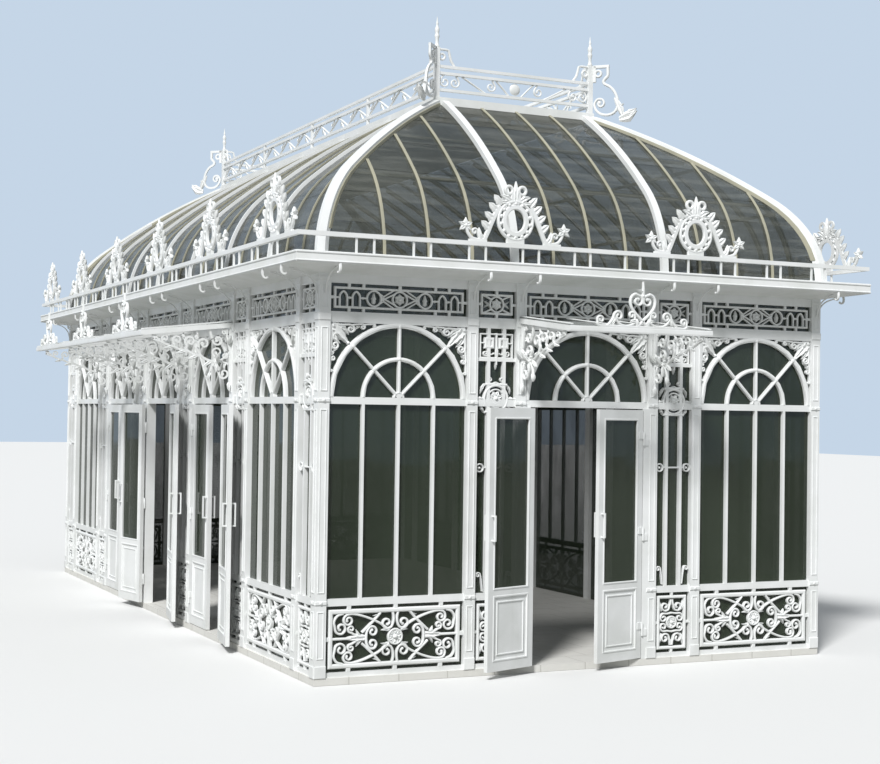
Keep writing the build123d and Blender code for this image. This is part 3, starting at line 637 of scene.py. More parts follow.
def pierPanel():
    look = lowerPanel
    halfAlong, halfUp = halfField("pier", "panelBottom", "sillBottom")
    inset = look["gap"] + look["border"] * 0.35
    cast = Casting(look)
    parts = [cast.frame(0, 0, halfAlong - inset, halfUp - inset, look["border"] * 0.7, 0.004)]
    quarter = [
        cast.curl([(0.008, 0.206), (0.014, 0.165)], (0.068, 0.145), 0.05, 165, 420, 0.85),
        cast.curl([(0.0, 0.085), (0.05, 0.078)], (0.085, 0.04), 0.04, 75, -400, 0.8),
        cast.leaf([(0.10, 0.10), (0.118, 0.145), (0.124, 0.20)], 0.03, 0.03, 3),
    ]
    parts.append(fourTimes(joined(quarter)))
    parts.append(rosette(0, 0, 0.055, cast.back - 0.005, 0.026, 8))
    parts.append(cast.ring(0, 0, 0.05, 18, 0.8))
    for side in (-1, 1):
        parts.append(cast.upLug(side, halfUp - look["gap"], halfUp, look["pierLugSize"]))
        parts.append(cast.sideLug(side, halfAlong - look["gap"], halfAlong, look["pierLugSize"]))
    return joined(parts)


# Frieze: the band of circles and hairpins under the wall plate

frieze = {
    "gap": 0.028,
    "border": 0.019,
    "bar": 0.014,
    "front": 0.018,
    "back": 0.044,
    "links": ((0.30, 0.33, 0.36), (0.43, 0.45, 0.475), (0.545, 0.56, 0.58)),
    "beads": ((0.15, 0.015), (0.33, 0.013), (0.452, 0.013)),  # place and radius
    "hairpins": (0.395, 0.51),
    "lug": 0.012,
}


def windowFrieze():
    look = frieze
    cast = Casting(look)
    halfAlong, halfUp = halfField("window", "friezeRailTop", "plateBottom")
    frameUp = halfUp - look["gap"] - look["border"] / 2
    parts = [cast.frame(0, 0, halfAlong - 0.045, frameUp, look["border"], 0.003)]
    parts.append(cast.ring(0, 0, 0.066, 22))
    parts.append(rosette(0, 0, 0.05, cast.back - 0.004, 0.024, 6))
    side = [cast.ring(0.235, 0, 0.064, 20)]
    side.append(cast.leaf([(0.235, -0.045), (0.235, 0.0), (0.235, 0.05)], 0.05, 0.026, 3))
    side += [cast.bar([(along, 0) for along in link]) for link in look["links"]]
    side += [cast.boss(along, 0, size, 0.03) for along, size in look["beads"]]
    for centre in look["hairpins"]:
        hairpin = [(centre - 0.033, -frameUp), (centre - 0.033, -0.02), (centre - 0.03, 0.022),
                   (centre, 0.052),
                   (centre + 0.03, 0.022), (centre + 0.033, -0.02), (centre + 0.033, -frameUp)]
        side.append(cast.bar(smooth(hairpin)))
    for slope in (-1, 1):
        side.append(cast.bar([(0.048, slope * 0.046), (0.11, slope * 0.016), (0.172, -slope * 0.014)], 0.9))
        side.append(cast.bar([(0.05, slope * frameUp), (0.15, slope * 0.02), (0.15, 0)], 0.8))
        side.append(cast.bar([(0.15, 0), (0.15, slope * 0.02), (0.25, slope * frameUp)], 0.8))
        side += [cast.upLug(slope, frameUp + 0.004, halfUp, look["lug"], along) for along in (0.33, 0.46)]
    parts.append(bothSides(joined(side)))
    for slope in (-1, 1):
        parts.append(cast.upLug(slope, frameUp + 0.004, halfUp, 0.014))
        parts.append(cast.sideLug(slope, halfAlong - 0.05, halfAlong, look["lug"]))
    return joined(parts)


def pierFrieze():
    look = frieze
    cast = Casting(look)
    halfAlong, halfUp = halfField("pier", "friezeRailTop", "plateBottom")
    frameUp = halfUp - look["gap"] - look["border"] / 2
    frameAlong = halfAlong - 0.04
    parts = [cast.frame(0, 0, frameAlong, frameUp, look["border"], 0.003)]
    parts.append(cast.ring(0, 0, 0.066, 20))
    parts.append(rosette(0, 0, 0.052, cast.back - 0.004, 0.024, 6))
    link = [cast.bar([(0.052, 0.042), (0.09, 0.06), (frameAlong, frameUp)], 0.9),
            cast.leaf([(0.066, 0.0), (0.095, 0.012), (0.125, 0.032)], 0.022, 0.024, 2)]
    parts.append(fourTimes(joined(link)))
    for slope in (-1, 1):
        parts.append(cast.upLug(slope, frameUp + 0.004, halfUp, look["lug"]))
        parts.append(cast.sideLug(slope, frameAlong, halfAlong, 0.011))
    return joined(parts)


# Spandrels: leaves and scrolls in the corners over each arch

spandrel = {"bar": 0.018, "front": 0.014, "back": 0.045}


def spandrelCorner():  # corner at the origin, arch down and to the left of it
    cast = Casting(spandrel)
    straight = joined([
        cast.curl([(-0.02, -0.012), (-0.09, -0.02), (-0.145, -0.018)], (-0.188, -0.052), 0.036, 80, 430),
        cast.curl([(-0.20, -0.018), (-0.25, -0.012)], (-0.296, -0.032), 0.022, 90, 400, 0.85),
        cast.curl([(-0.31, -0.012), (-0.36, -0.008)], (-0.398, -0.019), 0.012, 90, 360, 0.7),
        cast.leaf([(-0.075, -0.035), (-0.13, -0.05), (-0.175, -0.10)], 0.060, 0.036, 3),
        cast.leaf([(-0.05, -0.02), (-0.11, -0.028), (-0.15, -0.018)], 0.046, 0.032, 3),
        cast.leaf([(-0.20, -0.075), (-0.225, -0.055), (-0.24, -0.028)], 0.034, 0.032, 2),
        cast.leaf([(-0.235, -0.045), (-0.262, -0.03), (-0.275, -0.01)], 0.028, 0.028, 2),
        cast.boss(-0.245, -0.03, 0.010, 0.03),
    ])
    points = straight[0]
    swapped = np.stack([points[:, 2], points[:, 1], points[:, 0]], 1)
    parts = [straight, (swapped, [face[::-1] for face in straight[1]])]
    parts.append(cast.leaf([(-0.012, -0.012), (-0.075, -0.07), (-0.178, -0.178)], 0.135, 0.045, 5))
    parts.append(cast.boss(-0.03, -0.03, 0.022, 0.045, 10, 3))
    parts.append(cast.boss(-0.168, -0.168, 0.016, 0.042))
    return joined(parts)


# Arch mouldings: rolled bars over the fanlights

fanlight = {
    "large": (0.629, 0.584, 40),  # outer and inner radius, pieces
    "small": (0.339, 0.304, 28),
    "front": 0.0105,
    "back": 0.0498,
    "hub": 0.042,
    "studs": (0.325, 0.595),
    "spoke": (0.04, 0.2, 0.4, 0.59),
}


def archMouldings():
    look = fanlight
    front, back = look["front"], look["back"]
    parts = []
    for outer, inner, pieces in (look["large"], look["small"]):
        arch = [polar((0, 0), (outer + inner) / 2, math.pi * k / pieces) for k in range(pieces + 1)]
        parts.append(barAlong(arch, outer - inner, front, back, bevel=0.35))
    hub = [polar((0, 0), look["hub"], math.pi * k / 12) for k in range(13)]
    parts.append(barAlong(hub, 0.018, front + 0.002, back))
    for turn in (45, 90, 135):
        ray = math.radians(turn)
        for reach in look["studs"]:
            parts.append(dome(*polar((0, 0), reach, ray), 0.019, front + 0.004, 0.010, 10, 3))
        spoke = [polar((0, 0), reach, ray) for reach in look["spoke"]]
        parts.append(barAlong(spoke, 0.013, 0.0095, 0.016, bevel=0.4))
    return joined(parts)


# Pier bays: key panel, ring with a flower, small rings beside the twin bars

pierLook = {"bar": 0.015, "front": 0.016, "back": 0.046, "keyLow": 2.73, "keyHigh": 2.935}


def pierCasting():
    cast = Casting(pierLook)
    low, high = pierLook["keyLow"], pierLook["keyHigh"]
    parts = [cast.frame(0, (low + high) / 2, 0.155, (high - low) / 2, 0.013)]
    side = [
        cast.frame(0.069, 2.8575, 0.034, 0.034, 0.028, 0.003),
        cast.bar([(0.10, 2.858), (0.13, 2.858), (0.155, 2.858)], 0.8),
        cast.bar([(0.069, 2.90), (0.069, 2.92), (0.069, 2.94)], 0.8),
        cast.bar([(0.069, 2.81), (0.069, 2.77), (0.069, low)], 0.8),
        cast.curl([(0.02, 2.772), (0.045, 2.76)], (0.105, 2.768), 0.026, 200, 400, 0.7),
        cast.curl([(0.0, 2.52), (0.035, 2.508)], (0.058, 2.54), 0.026, -70, 400, 0.7),
        cast.bar([(0.118, 2.38), (0.15, 2.38), (0.185, 2.38)]),
        cast.boss(0.152, 2.38, 0.018, 0.036, 8, 3),
        cast.ring(0.145, 1.78, 0.034, 16, 0.75),
        cast.boss(0.145, 1.78, 0.014, 0.032),
        cast.bar([(0.09, 1.78), (0.10, 1.78), (0.113, 1.78)], 0.8),
        cast.bar([(0.176, 1.78), (0.18, 1.78), (0.185, 1.78)], 0.8),
        cast.leaf([(0.10, 2.255), (0.13, 2.29), (0.145, 2.34)], 0.03, 0.03, 3),
        cast.leaf([(0.10, 2.505), (0.13, 2.47), (0.145, 2.42)], 0.03, 0.03, 3),
        cast.curl([(0.105, 0.72), (0.115, 0.80)], (0.15, 0.86), 0.026, 190, -400, 0.7),
    ]
    parts.append(bothSides(joined(side)))
    parts.append(cast.bar([(0, 2.67), (0, 2.80), (0, 2.945)], 1.0, 0.003))
    parts.append(leafAlong([(0, 2.735), (0, 2.79), (0, 2.85)], 0.038, cast.front, 0.008, 3))
    parts.append(cast.leaf([(0, 2.70), (0, 2.67), (0, 2.63)], 0.03, 0.03, 2))
    parts.append(cast.bar([(-0.105, 2.50), (0, 2.50), (0.105, 2.50)], 1.3, 0.003))
    parts.append(cast.bar([(-0.105, 2.26), (0, 2.26), (0.105, 2.26)], 1.3, 0.003))
    parts.append(cast.ring(0, 2.38, 0.112, 28, 1.3, 0.004))
    parts.append(cast.ring(0, 2.38, 0.078, 24, 0.8))
    parts.append(rosette(0, 2.38, 0.072, cast.back - 0.006, 0.028, 8))
    parts.append(cast.bar([(-0.075, 1.78), (0, 1.78), (0.075, 1.78)]))
    return joined(parts)


castingMakers = {
    "lower_panels": ("panelBottom", "sillBottom", windowPanel, pierPanel),
    "friezes": ("friezeRailTop", "plateBottom", windowFrieze, pierFrieze),
}
for kind, (low, high, forWindow, forPier) in castingMakers.items():
    middle = (building[low] + building[high]) / 2
    wide = forWindow()
    narrow = forPier()
    for wall in walls:
        parts = []
        for bay, centre, clear in bayCentres(wall):
            if bay != "D" or kind == "friezes":
                parts.append(shifted(narrow if bay == "P" else wide, centre, 0, middle))
        wallPiece(wall, kind, parts)

corner = spandrelCorner()
arches = archMouldings()
piers = pierCasting()
for wall in walls:
    spandrels = []
    mouldings = []
    castings = []
    for bay, centre, clear in bayCentres(wall):
        if bay == "P":
            castings.append(shifted(piers, centre))
            continue
        right = shifted(corner, clear / 2, 0, building["friezeRailBottom"])
        spandrels.append(shifted(bothSides(right), centre))
        mouldings.append(shifted(arches, centre, 0, building["transomTop"]))
    wallPiece(wall, "spandrels", spandrels)
    wallPiece(wall, "arch_mouldings", mouldings)
    wallPiece(wall, "pier_castings", castings)
print("wall castings made")


# Posts: raised strips, bases and collars

trim = {
    "strip": 0.052,
    "proud": 0.006,
    "collar": 0.009,
    "over": 0.002,
    "fields": ((0.22, 0.60), (0.76, 2.26), (2.42, 2.94), (3.10, 3.28)),  # low and high
    "collars": ((0.06, 0.10), (0.66, 0.03), (2.325, 0.03), (3.0, 0.06), (3.33, 0.03)),  # low and height
    "studs": ((2.34, 0.016), (0.675, 0.014)),
}


def postTrim():  # on one post, from its centre line
    look = trim
    reach = building["post"] / 2 + look["over"]
    parts = []
    for low, high in look["fields"]:
        parts.append(rectangleBar(0, (low + high) / 2, look["strip"] / 2, (high - low) / 2, 0.009,
                                  -look["proud"], 0.002))
    for level, tall in look["collars"]:
        parts.append(block(-reach, reach, -look["collar"], 0.004, level, level + tall, 0.004))
    for level, size in look["studs"]:
        parts.append(dome(0, level, size, -look["collar"], 0.008, 10, 3))
    return joined(parts)


strips = postTrim()
for wall in walls:
    wallPiece(wall, "post_trim", [shifted(strips, centre) for centre in postCentres(wall)])


# Eave: hooks under the soffit at each post, bead on the fascia

eaveLook = {
    "reach": 0.327,
    "hook": 0.020,
    "topBead": (building["eaveTop"] - 0.012, 0.016),  # level and size
    "lowBead": (building["fasciaBottom"] + 0.012, 0.012),
}


def eaveHook():  # reach from the wall, height
    bar = eaveLook["hook"]
    tail = [(0.316, 3.440), (0.322, 3.405), (0.316, 3.378), (0.296, 3.364), (0.272, 3.372)]
    parts = [barAlong(smooth(tail), bar, -0.010, 0.010, tip=0.7), freeDome(0.272, 3.373, 0.012, 0.012, 8)]
    arm = [(0.006, 3.22), (0.03, 3.30), (0.09, 3.362), (0.18, 3.398), (0.25, 3.415)]
    parts.append(barAlong(smooth(arm), bar * 0.6, -0.006, 0.006))
    return joined(parts)


hook = eaveHook()
for wall in walls:
    parts = [crosswise(hook, centre) for centre in postCentres(wall)]
    run = building["length"] if wall in ("left", "right") else building["width"]
    reach = eaveLook["reach"]
    for level, size in (eaveLook["topBead"], eaveLook["lowBead"]):
        line = [(-reach, level), (run / 2, level), (run + reach, level)]
        parts.append(barAlong(line, size, -reach - 0.007, -reach + 0.002, bevel=0.4))
    wallPiece(wall, "eave_hooks", parts)


# Crests over the eave rail

crestLook = {
    "front": -0.012,
    "back": 0.012,
    "railMiddle": 0.319 - 0.020,
    "railTop": 3.69,
    "berries": 14,
    "flower": (0.470, 0.128),
    "wingLeaves": ((0.135, 0.322, 50), (0.172, 0.262, 42), (0.206, 0.188, 38), (0.240, 0.108, 40)),
}


def fanLeaf(centre, turn, reaches, width, lobes):  # free leaf pointing away from a centre
    return freeLeaf([centre] + [polar(centre, reach, math.radians(turn)) for reach in reaches], width, lobes)


def crestSide():  # one half, standing on the rail
    front, back = crestLook["front"], crestLook["back"]
    wing = [(0.145, 0.312), (0.190, 0.245), (0.228, 0.165), (0.262, 0.085), (0.295, 0.015)]
    hookLine = [(0.285, 0.020), (0.345, 0.014), (0.405, 0.026), (0.442, 0.062), (0.462, 0.112)]
    parts = [
        barAlong(smooth(wing), 0.046, front, back, tip=0.85),
        barAlong(smooth(hookLine), 0.028, front, back, tip=0.8),
        curl([(0.335, 0.022), (0.350, 0.058)], (0.386, 0.080), 0.030, 150, -330, 0.019, front, back),
        freeLeaf([(0.300, 0.012), (0.335, 0.060), (0.345, 0.118)], 0.060, 2),
        barAlong(smooth([(0.014, 0.335), (0.034, 0.375), (0.030, 0.425)]), 0.034, front, back),
        barAlong(circlePoints(0.064, 0.452, 0.034, 18), 0.025, front, back, closed=True),
        freeLeaf([(0.030, 0.345), (0.085, 0.385), (0.142, 0.402)], 0.066, 3),
        freeLeaf([(0.060, 0.350), (0.110, 0.345), (0.160, 0.352)], 0.050, 2),
        block(0.27, 0.44, front, back, -0.001, 0.018),
    ]
    for along, up, turn in crestLook["wingLeaves"]:
        parts.append(fanLeaf((along, up), turn, (0.055, 0.108), 0.088, 2))
    flower = crestLook["flower"]
    parts += [fanLeaf(flower, turn, (0.034, 0.068), 0.044, 1) for turn in (90, 25, 155, -35, 215)]
    parts.append(freeDome(*flower, 0.018))
    return joined(parts)


def crest():
    front, back = crestLook["front"], crestLook["back"]
    parts = [bothSides(crestSide())]
    parts.append(freeLeaf([(0, 0.34), (0, 0.43), (0, 0.532)], 0.072, 3, 0.022))
    parts.append(barAlong(circlePoints(0, 0.195, 0.163, 36), 0.025, front - 0.002, back, closed=True))
    parts.append(barAlong(circlePoints(0, 0.195, 0.106, 30, 0.117), 0.046, front, back, closed=True))
    for k in range(crestLook["berries"]):
        turn = math.tau * (k + 0.5) / crestLook["berries"]
        parts.append(freeDome(0.141 * math.cos(turn), 0.195 + 0.145 * math.sin(turn), 0.019))
    parts.append(block(-0.085, 0.085, front, back, -0.001, 0.045, 0.004))
    return joined(parts)


oneCrest = crest()
for wall in walls:
    parts = [shifted(oneCrest, centre, -crestLook["railMiddle"], crestLook["railTop"])
             for bay, centre, clear in bayCentres(wall) if bay == "P"]
    wallPiece(wall, "crests", parts, replaces=["eave_crests"])
print("eave made")


# Roof: bars over and under the glass between the thick ribs, in a cream darkened as painted shade, and strips
# of painted shade beside the hips

roof = {
    "lowerRadius": 1.05,
    "lowerAngle": 49.6,
    "upperRadius": 6.23,
    "sideInset": 1.68,
    "endInset": 1.45,
    "glass": 0.008,
    "gap": 0.0005,
    "bar": 0.026,
    "capDepth": 0.012,
    "innerDepth": 0.034,
    "clearOfHip": 0.085,
    "halfHip": 0.045,
    "hipShadeStrip": 0.024,
    "endBars": (0.57, 0.98, 1.39, 2.185, 2.56),
    "firstRib": 1.26,
    "ribPitch": 1.27,
    "purlins": (0.35, 0.9),  # insets of the level bars under the glass
    "purlin": 0.03,
    "lowerSteps": 8,
    "upperStep": 0.02,
    "upperSweep": 0.6,
}


def roofLine(offset, inset, limit):  # inset from the wall plane and height, up to where the inset is limit
    low = math.radians(roof["lowerAngle"])
    small, large = roof["lowerRadius"], roof["upperRadius"]
    stretch = inset / roof["sideInset"]
    found = []
    for k in range(roof["lowerSteps"] + 1):
        turn = low * k / roof["lowerSteps"]
        found.append((stretch * (small - (small + offset) * math.cos(turn)),
                      building["eaveTop"] + (small + offset) * math.sin(turn)))
    centre = (small - small * math.cos(low) + large * math.cos(low),
              building["eaveTop"] + small * math.sin(low) - large * math.sin(low))
    turn = low
    while found[-1][0] < limit and turn < low + roof["upperSweep"]:
        turn += roof["upperStep"]
        found.append((stretch * (centre[0] - (large + offset) * math.cos(turn)),
                      centre[1] + (large + offset) * math.sin(turn)))
    kept = [point for point in found if point[0] < limit]
    if len(kept) < len(found) and kept:
        before, after = kept[-1], found[len(kept)]
        share = (limit - before[0]) / (after[0] - before[0])
        kept.append((limit, before[1] + share * (after[1] - before[1])))
    return kept


def roofBar(along, offset, thick, inset, limit):
    path = roofLine(offset, inset, limit)
    if len(path) < 3:
        return []
    points, faces = barAlong(path, thick, along - roof["bar"] / 2, along + roof["bar"] / 2)
    return [(np.stack([points[:, 1], points[:, 0], points[:, 2]], 1), faces)]


def hipShadeStrip(inset, hipSlope):  # painted shade of the hip's side face: a cream strip standing on the glass beside the hip
    path = np.array(roofLine(roof["gap"], inset, inset - 0.02))
    path = path[path[:, 0] > 0.012]
    raised = path + sideways(path) * roof["hipShadeStrip"]
    clear = (roof["halfHip"] + roof["gap"]) * math.hypot(1, hipSlope) / hipSlope
    rings = []
    for line, side in ((path, 0.0), (path, 0.012), (raised, 0.012), (raised, 0.0)):
        rings.append(np.stack([line[:, 0] / hipSlope + clear + side, line[:, 0], line[:, 1]], 1))
    return np.stack(rings, 1).reshape(-1, 3), tubeFaces(len(path), len(rings))


outside = roof["gap"] + roof["capDepth"] / 2
inside = -roof["glass"] - roof["gap"] - roof["innerDepth"] / 2
for wall in walls:
    long = wall in ("left", "right")
    run = building["length"] if long else building["width"]
    inset = roof["sideInset"] if long else roof["endInset"]
    if long:
        third = roof["ribPitch"] / 3
        first = roof["firstRib"] % third
        places = [first + third * k for k in range(round((run - first) / third))]
        places = [place for place in places if round((place - roof["firstRib"]) / third) % 3]
        if wall == "left":
            places = [run - place for place in places]
    else:
        places = list(roof["endBars"]) + [run - place for place in roof["endBars"][:-1]]
    hipSlope = inset / (roof["sideInset"] + roof["endInset"] - inset)
    parts = []
    for along in places:
        limit = min(inset, hipSlope * min(along, run - along) - roof["clearOfHip"])
        parts += roofBar(along, outside, roof["capDepth"], inset, limit)
        parts += roofBar(along, inside, roof["innerDepth"], inset, limit - 0.03)
    # strips of painted shade beside both hips
    strip = hipShadeStrip(inset, hipSlope)
    parts += [strip, shifted(mirrored(strip, along=True), run)]
    for level in roof["purlins"]:
        heights = [point for point in roofLine(-0.05, inset, inset) if point[0] < level]
        depth, up = heights[-1]
        start = depth / hipSlope
        line = [(start, up), (run / 2, up), (run - start, up)]
        parts.append(barAlong(line, roof["purlin"], depth, depth + roof["purlin"]))
    wallPiece(wall, "roof_bars", parts, shadedCreamPaint)
print("roof bars made")


# Ridge: scrolls in the railing, brackets at the corner posts, turned finials, corner scrolls

ridge = {
    "top": 5.2626,
    "x": 0.845,
    "y": 3.375,
    "post": 0.05,
    "postTop": 0.48,
    "low": 0.088,
    "high": 0.222,
    "railTop": 0.313,
    "bar": 0.015,
    "front": -0.009,
    "back": 0.009,
    "lattice": 24,  # slanting bars of a long side
}


def ridgeBracket():  # reach from the post's centre line, height over the platform
    rail, front, back = ridge["railTop"], ridge["front"], ridge["back"]
    path = [(0.02, rail + 0.152), (0.10, rail + 0.152), (0.126, rail + 0.146), (0.138, rail + 0.10),
            (0.152, rail + 0.05), (0.190, rail - 0.002)]
    parts = [barAlong(path, 0.022, front, back)]
    parts.append(barAlong(circlePoints(0.058, rail + 0.082, 0.028, 16), 0.020, front, back, closed=True))
    return joined(parts)


def ridgeFrontHalf():
    cast = Casting(ridge)
    low, high = ridge["low"], ridge["high"]
    middle = (low + high) / 2
    return joined([
        cast.curl([(0.772, high - 0.002)], (0.757, middle), 0.055, 55, -420, 1.15),
        cast.curl([(0.638, high - 0.002)], (0.653, middle), 0.055, 125, 420, 1.15),
        cast.bar([(0.575, high), (0.45, middle), (0.325, low)]),
        cast.curl([(0.247, high - 0.002)], (0.262, middle), 0.052, 125, 420, 1.15),
        cast.bar([(0.205, high), (0.135, middle), (0.068, low)]),
    ])


def ridgeZigzag(run):  # lattice of one long side, from -run/2 to run/2
    cast = Casting(ridge)
    low, high = ridge["low"], ridge["high"]
    step = run / ridge["lattice"]
    parts = []
    for k in range(ridge["lattice"]):
        start = -run / 2 + k * step
        foot, head = (low, high) if k % 2 == 0 else (high, low)
        slant = [(start, foot), (start + step / 2, (foot + head) / 2), (start + step, head)]
        parts.append(cast.bar(slant, 1.2))
        leaf = [(start + step * 0.5, head * 0.95 + 0.006), (start + step * 0.3, 0.16),
                (start + step * 0.18, head * 0.6 + 0.06)]
        parts.append(cast.leaf(leaf, 0.03, 0.018, 2))
    return joined(parts)


def aboutRidge(turn, out):  # from along one side of the platform to the shared frame
    return Matrix.Rotation(math.radians(turn), 4, "Z") @ Matrix.Translation((0, -out, ridge["top"]))


endParts = []
sideParts = []
bracket = ridgeBracket()
endPanel = joined([bothSides(ridgeFrontHalf()), freeDome(0, 0.155, 0.058, 0.016, 16)])
for turn in (0, 180):
    matrix = aboutRidge(turn, ridge["y"])
    endParts.append(placed(endPanel, matrix))
    endParts.append(placed(bothSides(shifted(bracket, -ridge["x"])), matrix))
for turn in (90, 270):
    matrix = aboutRidge(turn, ridge["x"])
    sideParts.append(placed(ridgeZigzag(2 * ridge["y"] - ridge["post"]), matrix))
    sideParts.append(placed(bothSides(shifted(bracket, -ridge["y"])), matrix))
makePiece("ridge_end_scrolls", joined(endParts), ironPaint)
makePiece("ridge_side_lattice", joined(sideParts), ironPaint)

finialLook = {
    "radius": 0.024,
    "height": 0.295,
    "profile": ((1.0, 0.0), (1.12, 0.03), (0.8, 0.07), (0.66, 0.14), (0.72, 0.26), (0.95, 0.33),
                (1.02, 0.38), (0.74, 0.43), (0.80, 0.48), (0.98, 0.55), (0.86, 0.62), (0.5, 0.68),
                (0.42, 0.72), (0.52, 0.76), (0.46, 0.80), (0.27, 0.86), (0.18, 0.93), (0.06, 1.0)),
}


def cornerScroll():  # reach from the post's corner, height over the platform
    front, back = -0.013, 0.013
    top, band = ridge["postTop"], 0.030
    line = [(0.150, 0.470), (0.150, 0.420), (0.149, 0.372), (0.122, 0.342), (0.106, 0.313), (0.124, 0.286),
            (0.170, 0.262), (0.216, 0.214), (0.243, 0.156), (0.255, 0.095), (0.247, 0.042), (0.216, -0.001),
            (0.165, -0.020), (0.112, -0.018), (0.062, 0.004), (0.028, 0.045)]
    parts = [
        block(0, band, front, back, top - 0.17, top - 0.002, 0.004),
        block(0.002, 0.165, front, back, top - band, top, 0.004),
        curl(line, (0.076, 0.095), 0.058, 180, -400, band, front, back, 0.7),
        barAlong(circlePoints(0.052, 0.396, 0.030, 18), 0.022, front, back, closed=True),
        freeLeaf([(0.225, 0.150), (0.285, 0.030), (0.322, -0.098)], 0.072, 1, 0.022),
        freeLeaf([(0.272, -0.070), (0.362, -0.046), (0.452, 0.006)], 0.120, 1, 0.026),
        freeLeaf([(0.330, -0.040), (0.392, -0.010), (0.446, 0.034)], 0.090, 1, 0.022),
        freeLeaf([(0.262, 0.060), (0.290, 0.070), (0.318, 0.085)], 0.040, 1),
    ]
    return joined(parts)


finials = []
cornerScrolls = []
profile = [(wide * finialLook["radius"], tall * finialLook["height"]) for wide, tall in finialLook["profile"]]
scroll = cornerScroll()
seat = ridge["post"] / math.sqrt(2) + 0.0005
for sideX in (-1, 1):
    for sideY in (-1, 1):
        x, y = sideX * ridge["x"], sideY * ridge["y"]
        finials.append(lathe(profile, (x, y, ridge["top"] + ridge["postTop"])))
        matrix = Matrix.Translation((x, y, ridge["top"])) @ Matrix.Rotation(math.atan2(sideY, sideX), 4, "Z")
        cornerScrolls.append(placed(scroll, matrix @ Matrix.Translation((seat, 0, 0))))
makePiece("turned_finials", joined(finials), ironPaint, replaces=["ridge_finials"])
makePiece("corner_scrolls", joined(cornerScrolls), ironPaint, replaces=["ridge_scrolls"])
print("ridge made")


# Canopies: scrolled brackets under the arms, glazing bars, lyre crests on the front beam

canopy = {
    "wallHeight": 3.06,
    "drop": 0.10,
    "reach": 0.86,
    "beam": 0.046,
    "glass": 0.008,
    "crestDepth": 0.011,
    "barPitch": 0.49,
    "barReach": 0.878,
    "bar": 0.011,
    "facing": 0.034,
}


def canopyBracket():  # reach from the wall, height
    front, back = -0.010, 0.010
    top = canopy["wallHeight"] - canopy["beam"] / 2
    slope = canopy["drop"] / canopy["reach"]

    def under(*places):  # (reach, distance under the sloping arm)
        return [(reach, top - slope * reach - below) for reach, below in places]

    scrolls = (
        (((0.218, 0.004), (0.208, 0.050), (0.194, 0.098)), (0.140, 0.108), 0.055, 10, -400, 0.022),
        (((0.030, 0.345), (0.100, 0.318), (0.172, 0.280)), (0.143, 0.225), 0.053, -60, 400, 0.020),
        (((0.150, 0.312), (0.220, 0.296), (0.300, 0.246), (0.338, 0.170)),
         (0.276, 0.134), 0.060, -35, 400, 0.024),
        (((0.285, 0.250), (0.370, 0.222), (0.452, 0.168)), (0.408, 0.098), 0.058, -55, 400, 0.023),
        (((0.405, 0.200), (0.490, 0.172), (0.574, 0.126)), (0.534, 0.074), 0.048, -50, 400, 0.021),
        (((0.530, 0.148), (0.612, 0.118), (0.684, 0.080)), (0.650, 0.050), 0.036, -45, 380, 0.019),
        (((0.660, 0.088), (0.725, 0.062), (0.772, 0.040)), (0.748, 0.026), 0.022, -40, 360, 0.016),
        (((0.345, 0.012), (0.338, 0.040)), (0.342, 0.066), 0.020, 90, -360, 0.014),
        (((0.478, 0.012), (0.470, 0.022)), (0.474, 0.038), 0.016, 90, -360, 0.013),
        (((0.148, 0.312), (0.148, 0.360), (0.130, 0.405)), (0.074, 0.432), 0.057, 20, -400, 0.022),
        (((0.022, 0.215), (0.040, 0.120), (0.052, 0.062)), (0.074, 0.040), 0.030, 150, -380, 0.017),
        (((0.016, 0.300), (0.030, 0.262)), (0.066, 0.262), 0.030, 180, 380, 0.015),
    )
    parts = [barAlong(under((0.014, 0.0), (0.014, 0.27), (0.014, 0.54)), 0.026, front, back)]
    for stem, eye, radius, start, sweep, wide in scrolls:
        parts.append(curl(under(*stem), under(eye)[0], radius, start, sweep, wide, front, back, 0.6))
    for line in (((0.145, 0.312), (0.090, 0.292), (0.020, 0.232)),
                 ((0.150, 0.315), (0.196, 0.350), (0.216, 0.415)),
                 ((0.700, 0.058), (0.740, 0.030), (0.775, 0.004))):
        parts.append(barAlong(smooth(under(*line)), 0.018, front, back, tip=0.7))
    for line, wide in ((((0.146, 0.318), (0.150, 0.365), (0.152, 0.418)), 0.046),
                       (((0.195, 0.302), (0.240, 0.325), (0.280, 0.352)), 0.048),
                       (((0.335, 0.240), (0.380, 0.252), (0.425, 0.262)), 0.046),
                       (((0.455, 0.182), (0.500, 0.192), (0.545, 0.198)), 0.040),
                       (((0.580, 0.130), (0.622, 0.138), (0.660, 0.140)), 0.034),
                       (((0.014, 0.520), (0.022, 0.560), (0.014, 0.610)), 0.052),
                       (((0.060, 0.330), (0.072, 0.366), (0.064, 0.400)), 0.036),
                       (((0.205, 0.410), (0.222, 0.445), (0.216, 0.485)), 0.038)):
        parts.append(freeLeaf(under(*line), wide, 2))
    for place, turned in (((0.034, 0.150), False), ((0.034, 0.300), True),
                          ((0.147, 0.305), False), ((0.147, 0.318), True)):
        leaf = mirrored(freeLeaf([(0.0, 0.0), (0.040, 0.028), (0.078, 0.074)], 0.050, 2), along=turned)
        reach, level = under(place)[0]
        points = leaf[0]
        across = np.stack([reach + points[:, 1], points[:, 0], level + points[:, 2]], 1)
        parts.append((across, [face[::-1] for face in leaf[1]]))
    parts.append(freeDome(*under((0.147, 0.312))[0], 0.024))
    return joined(parts)


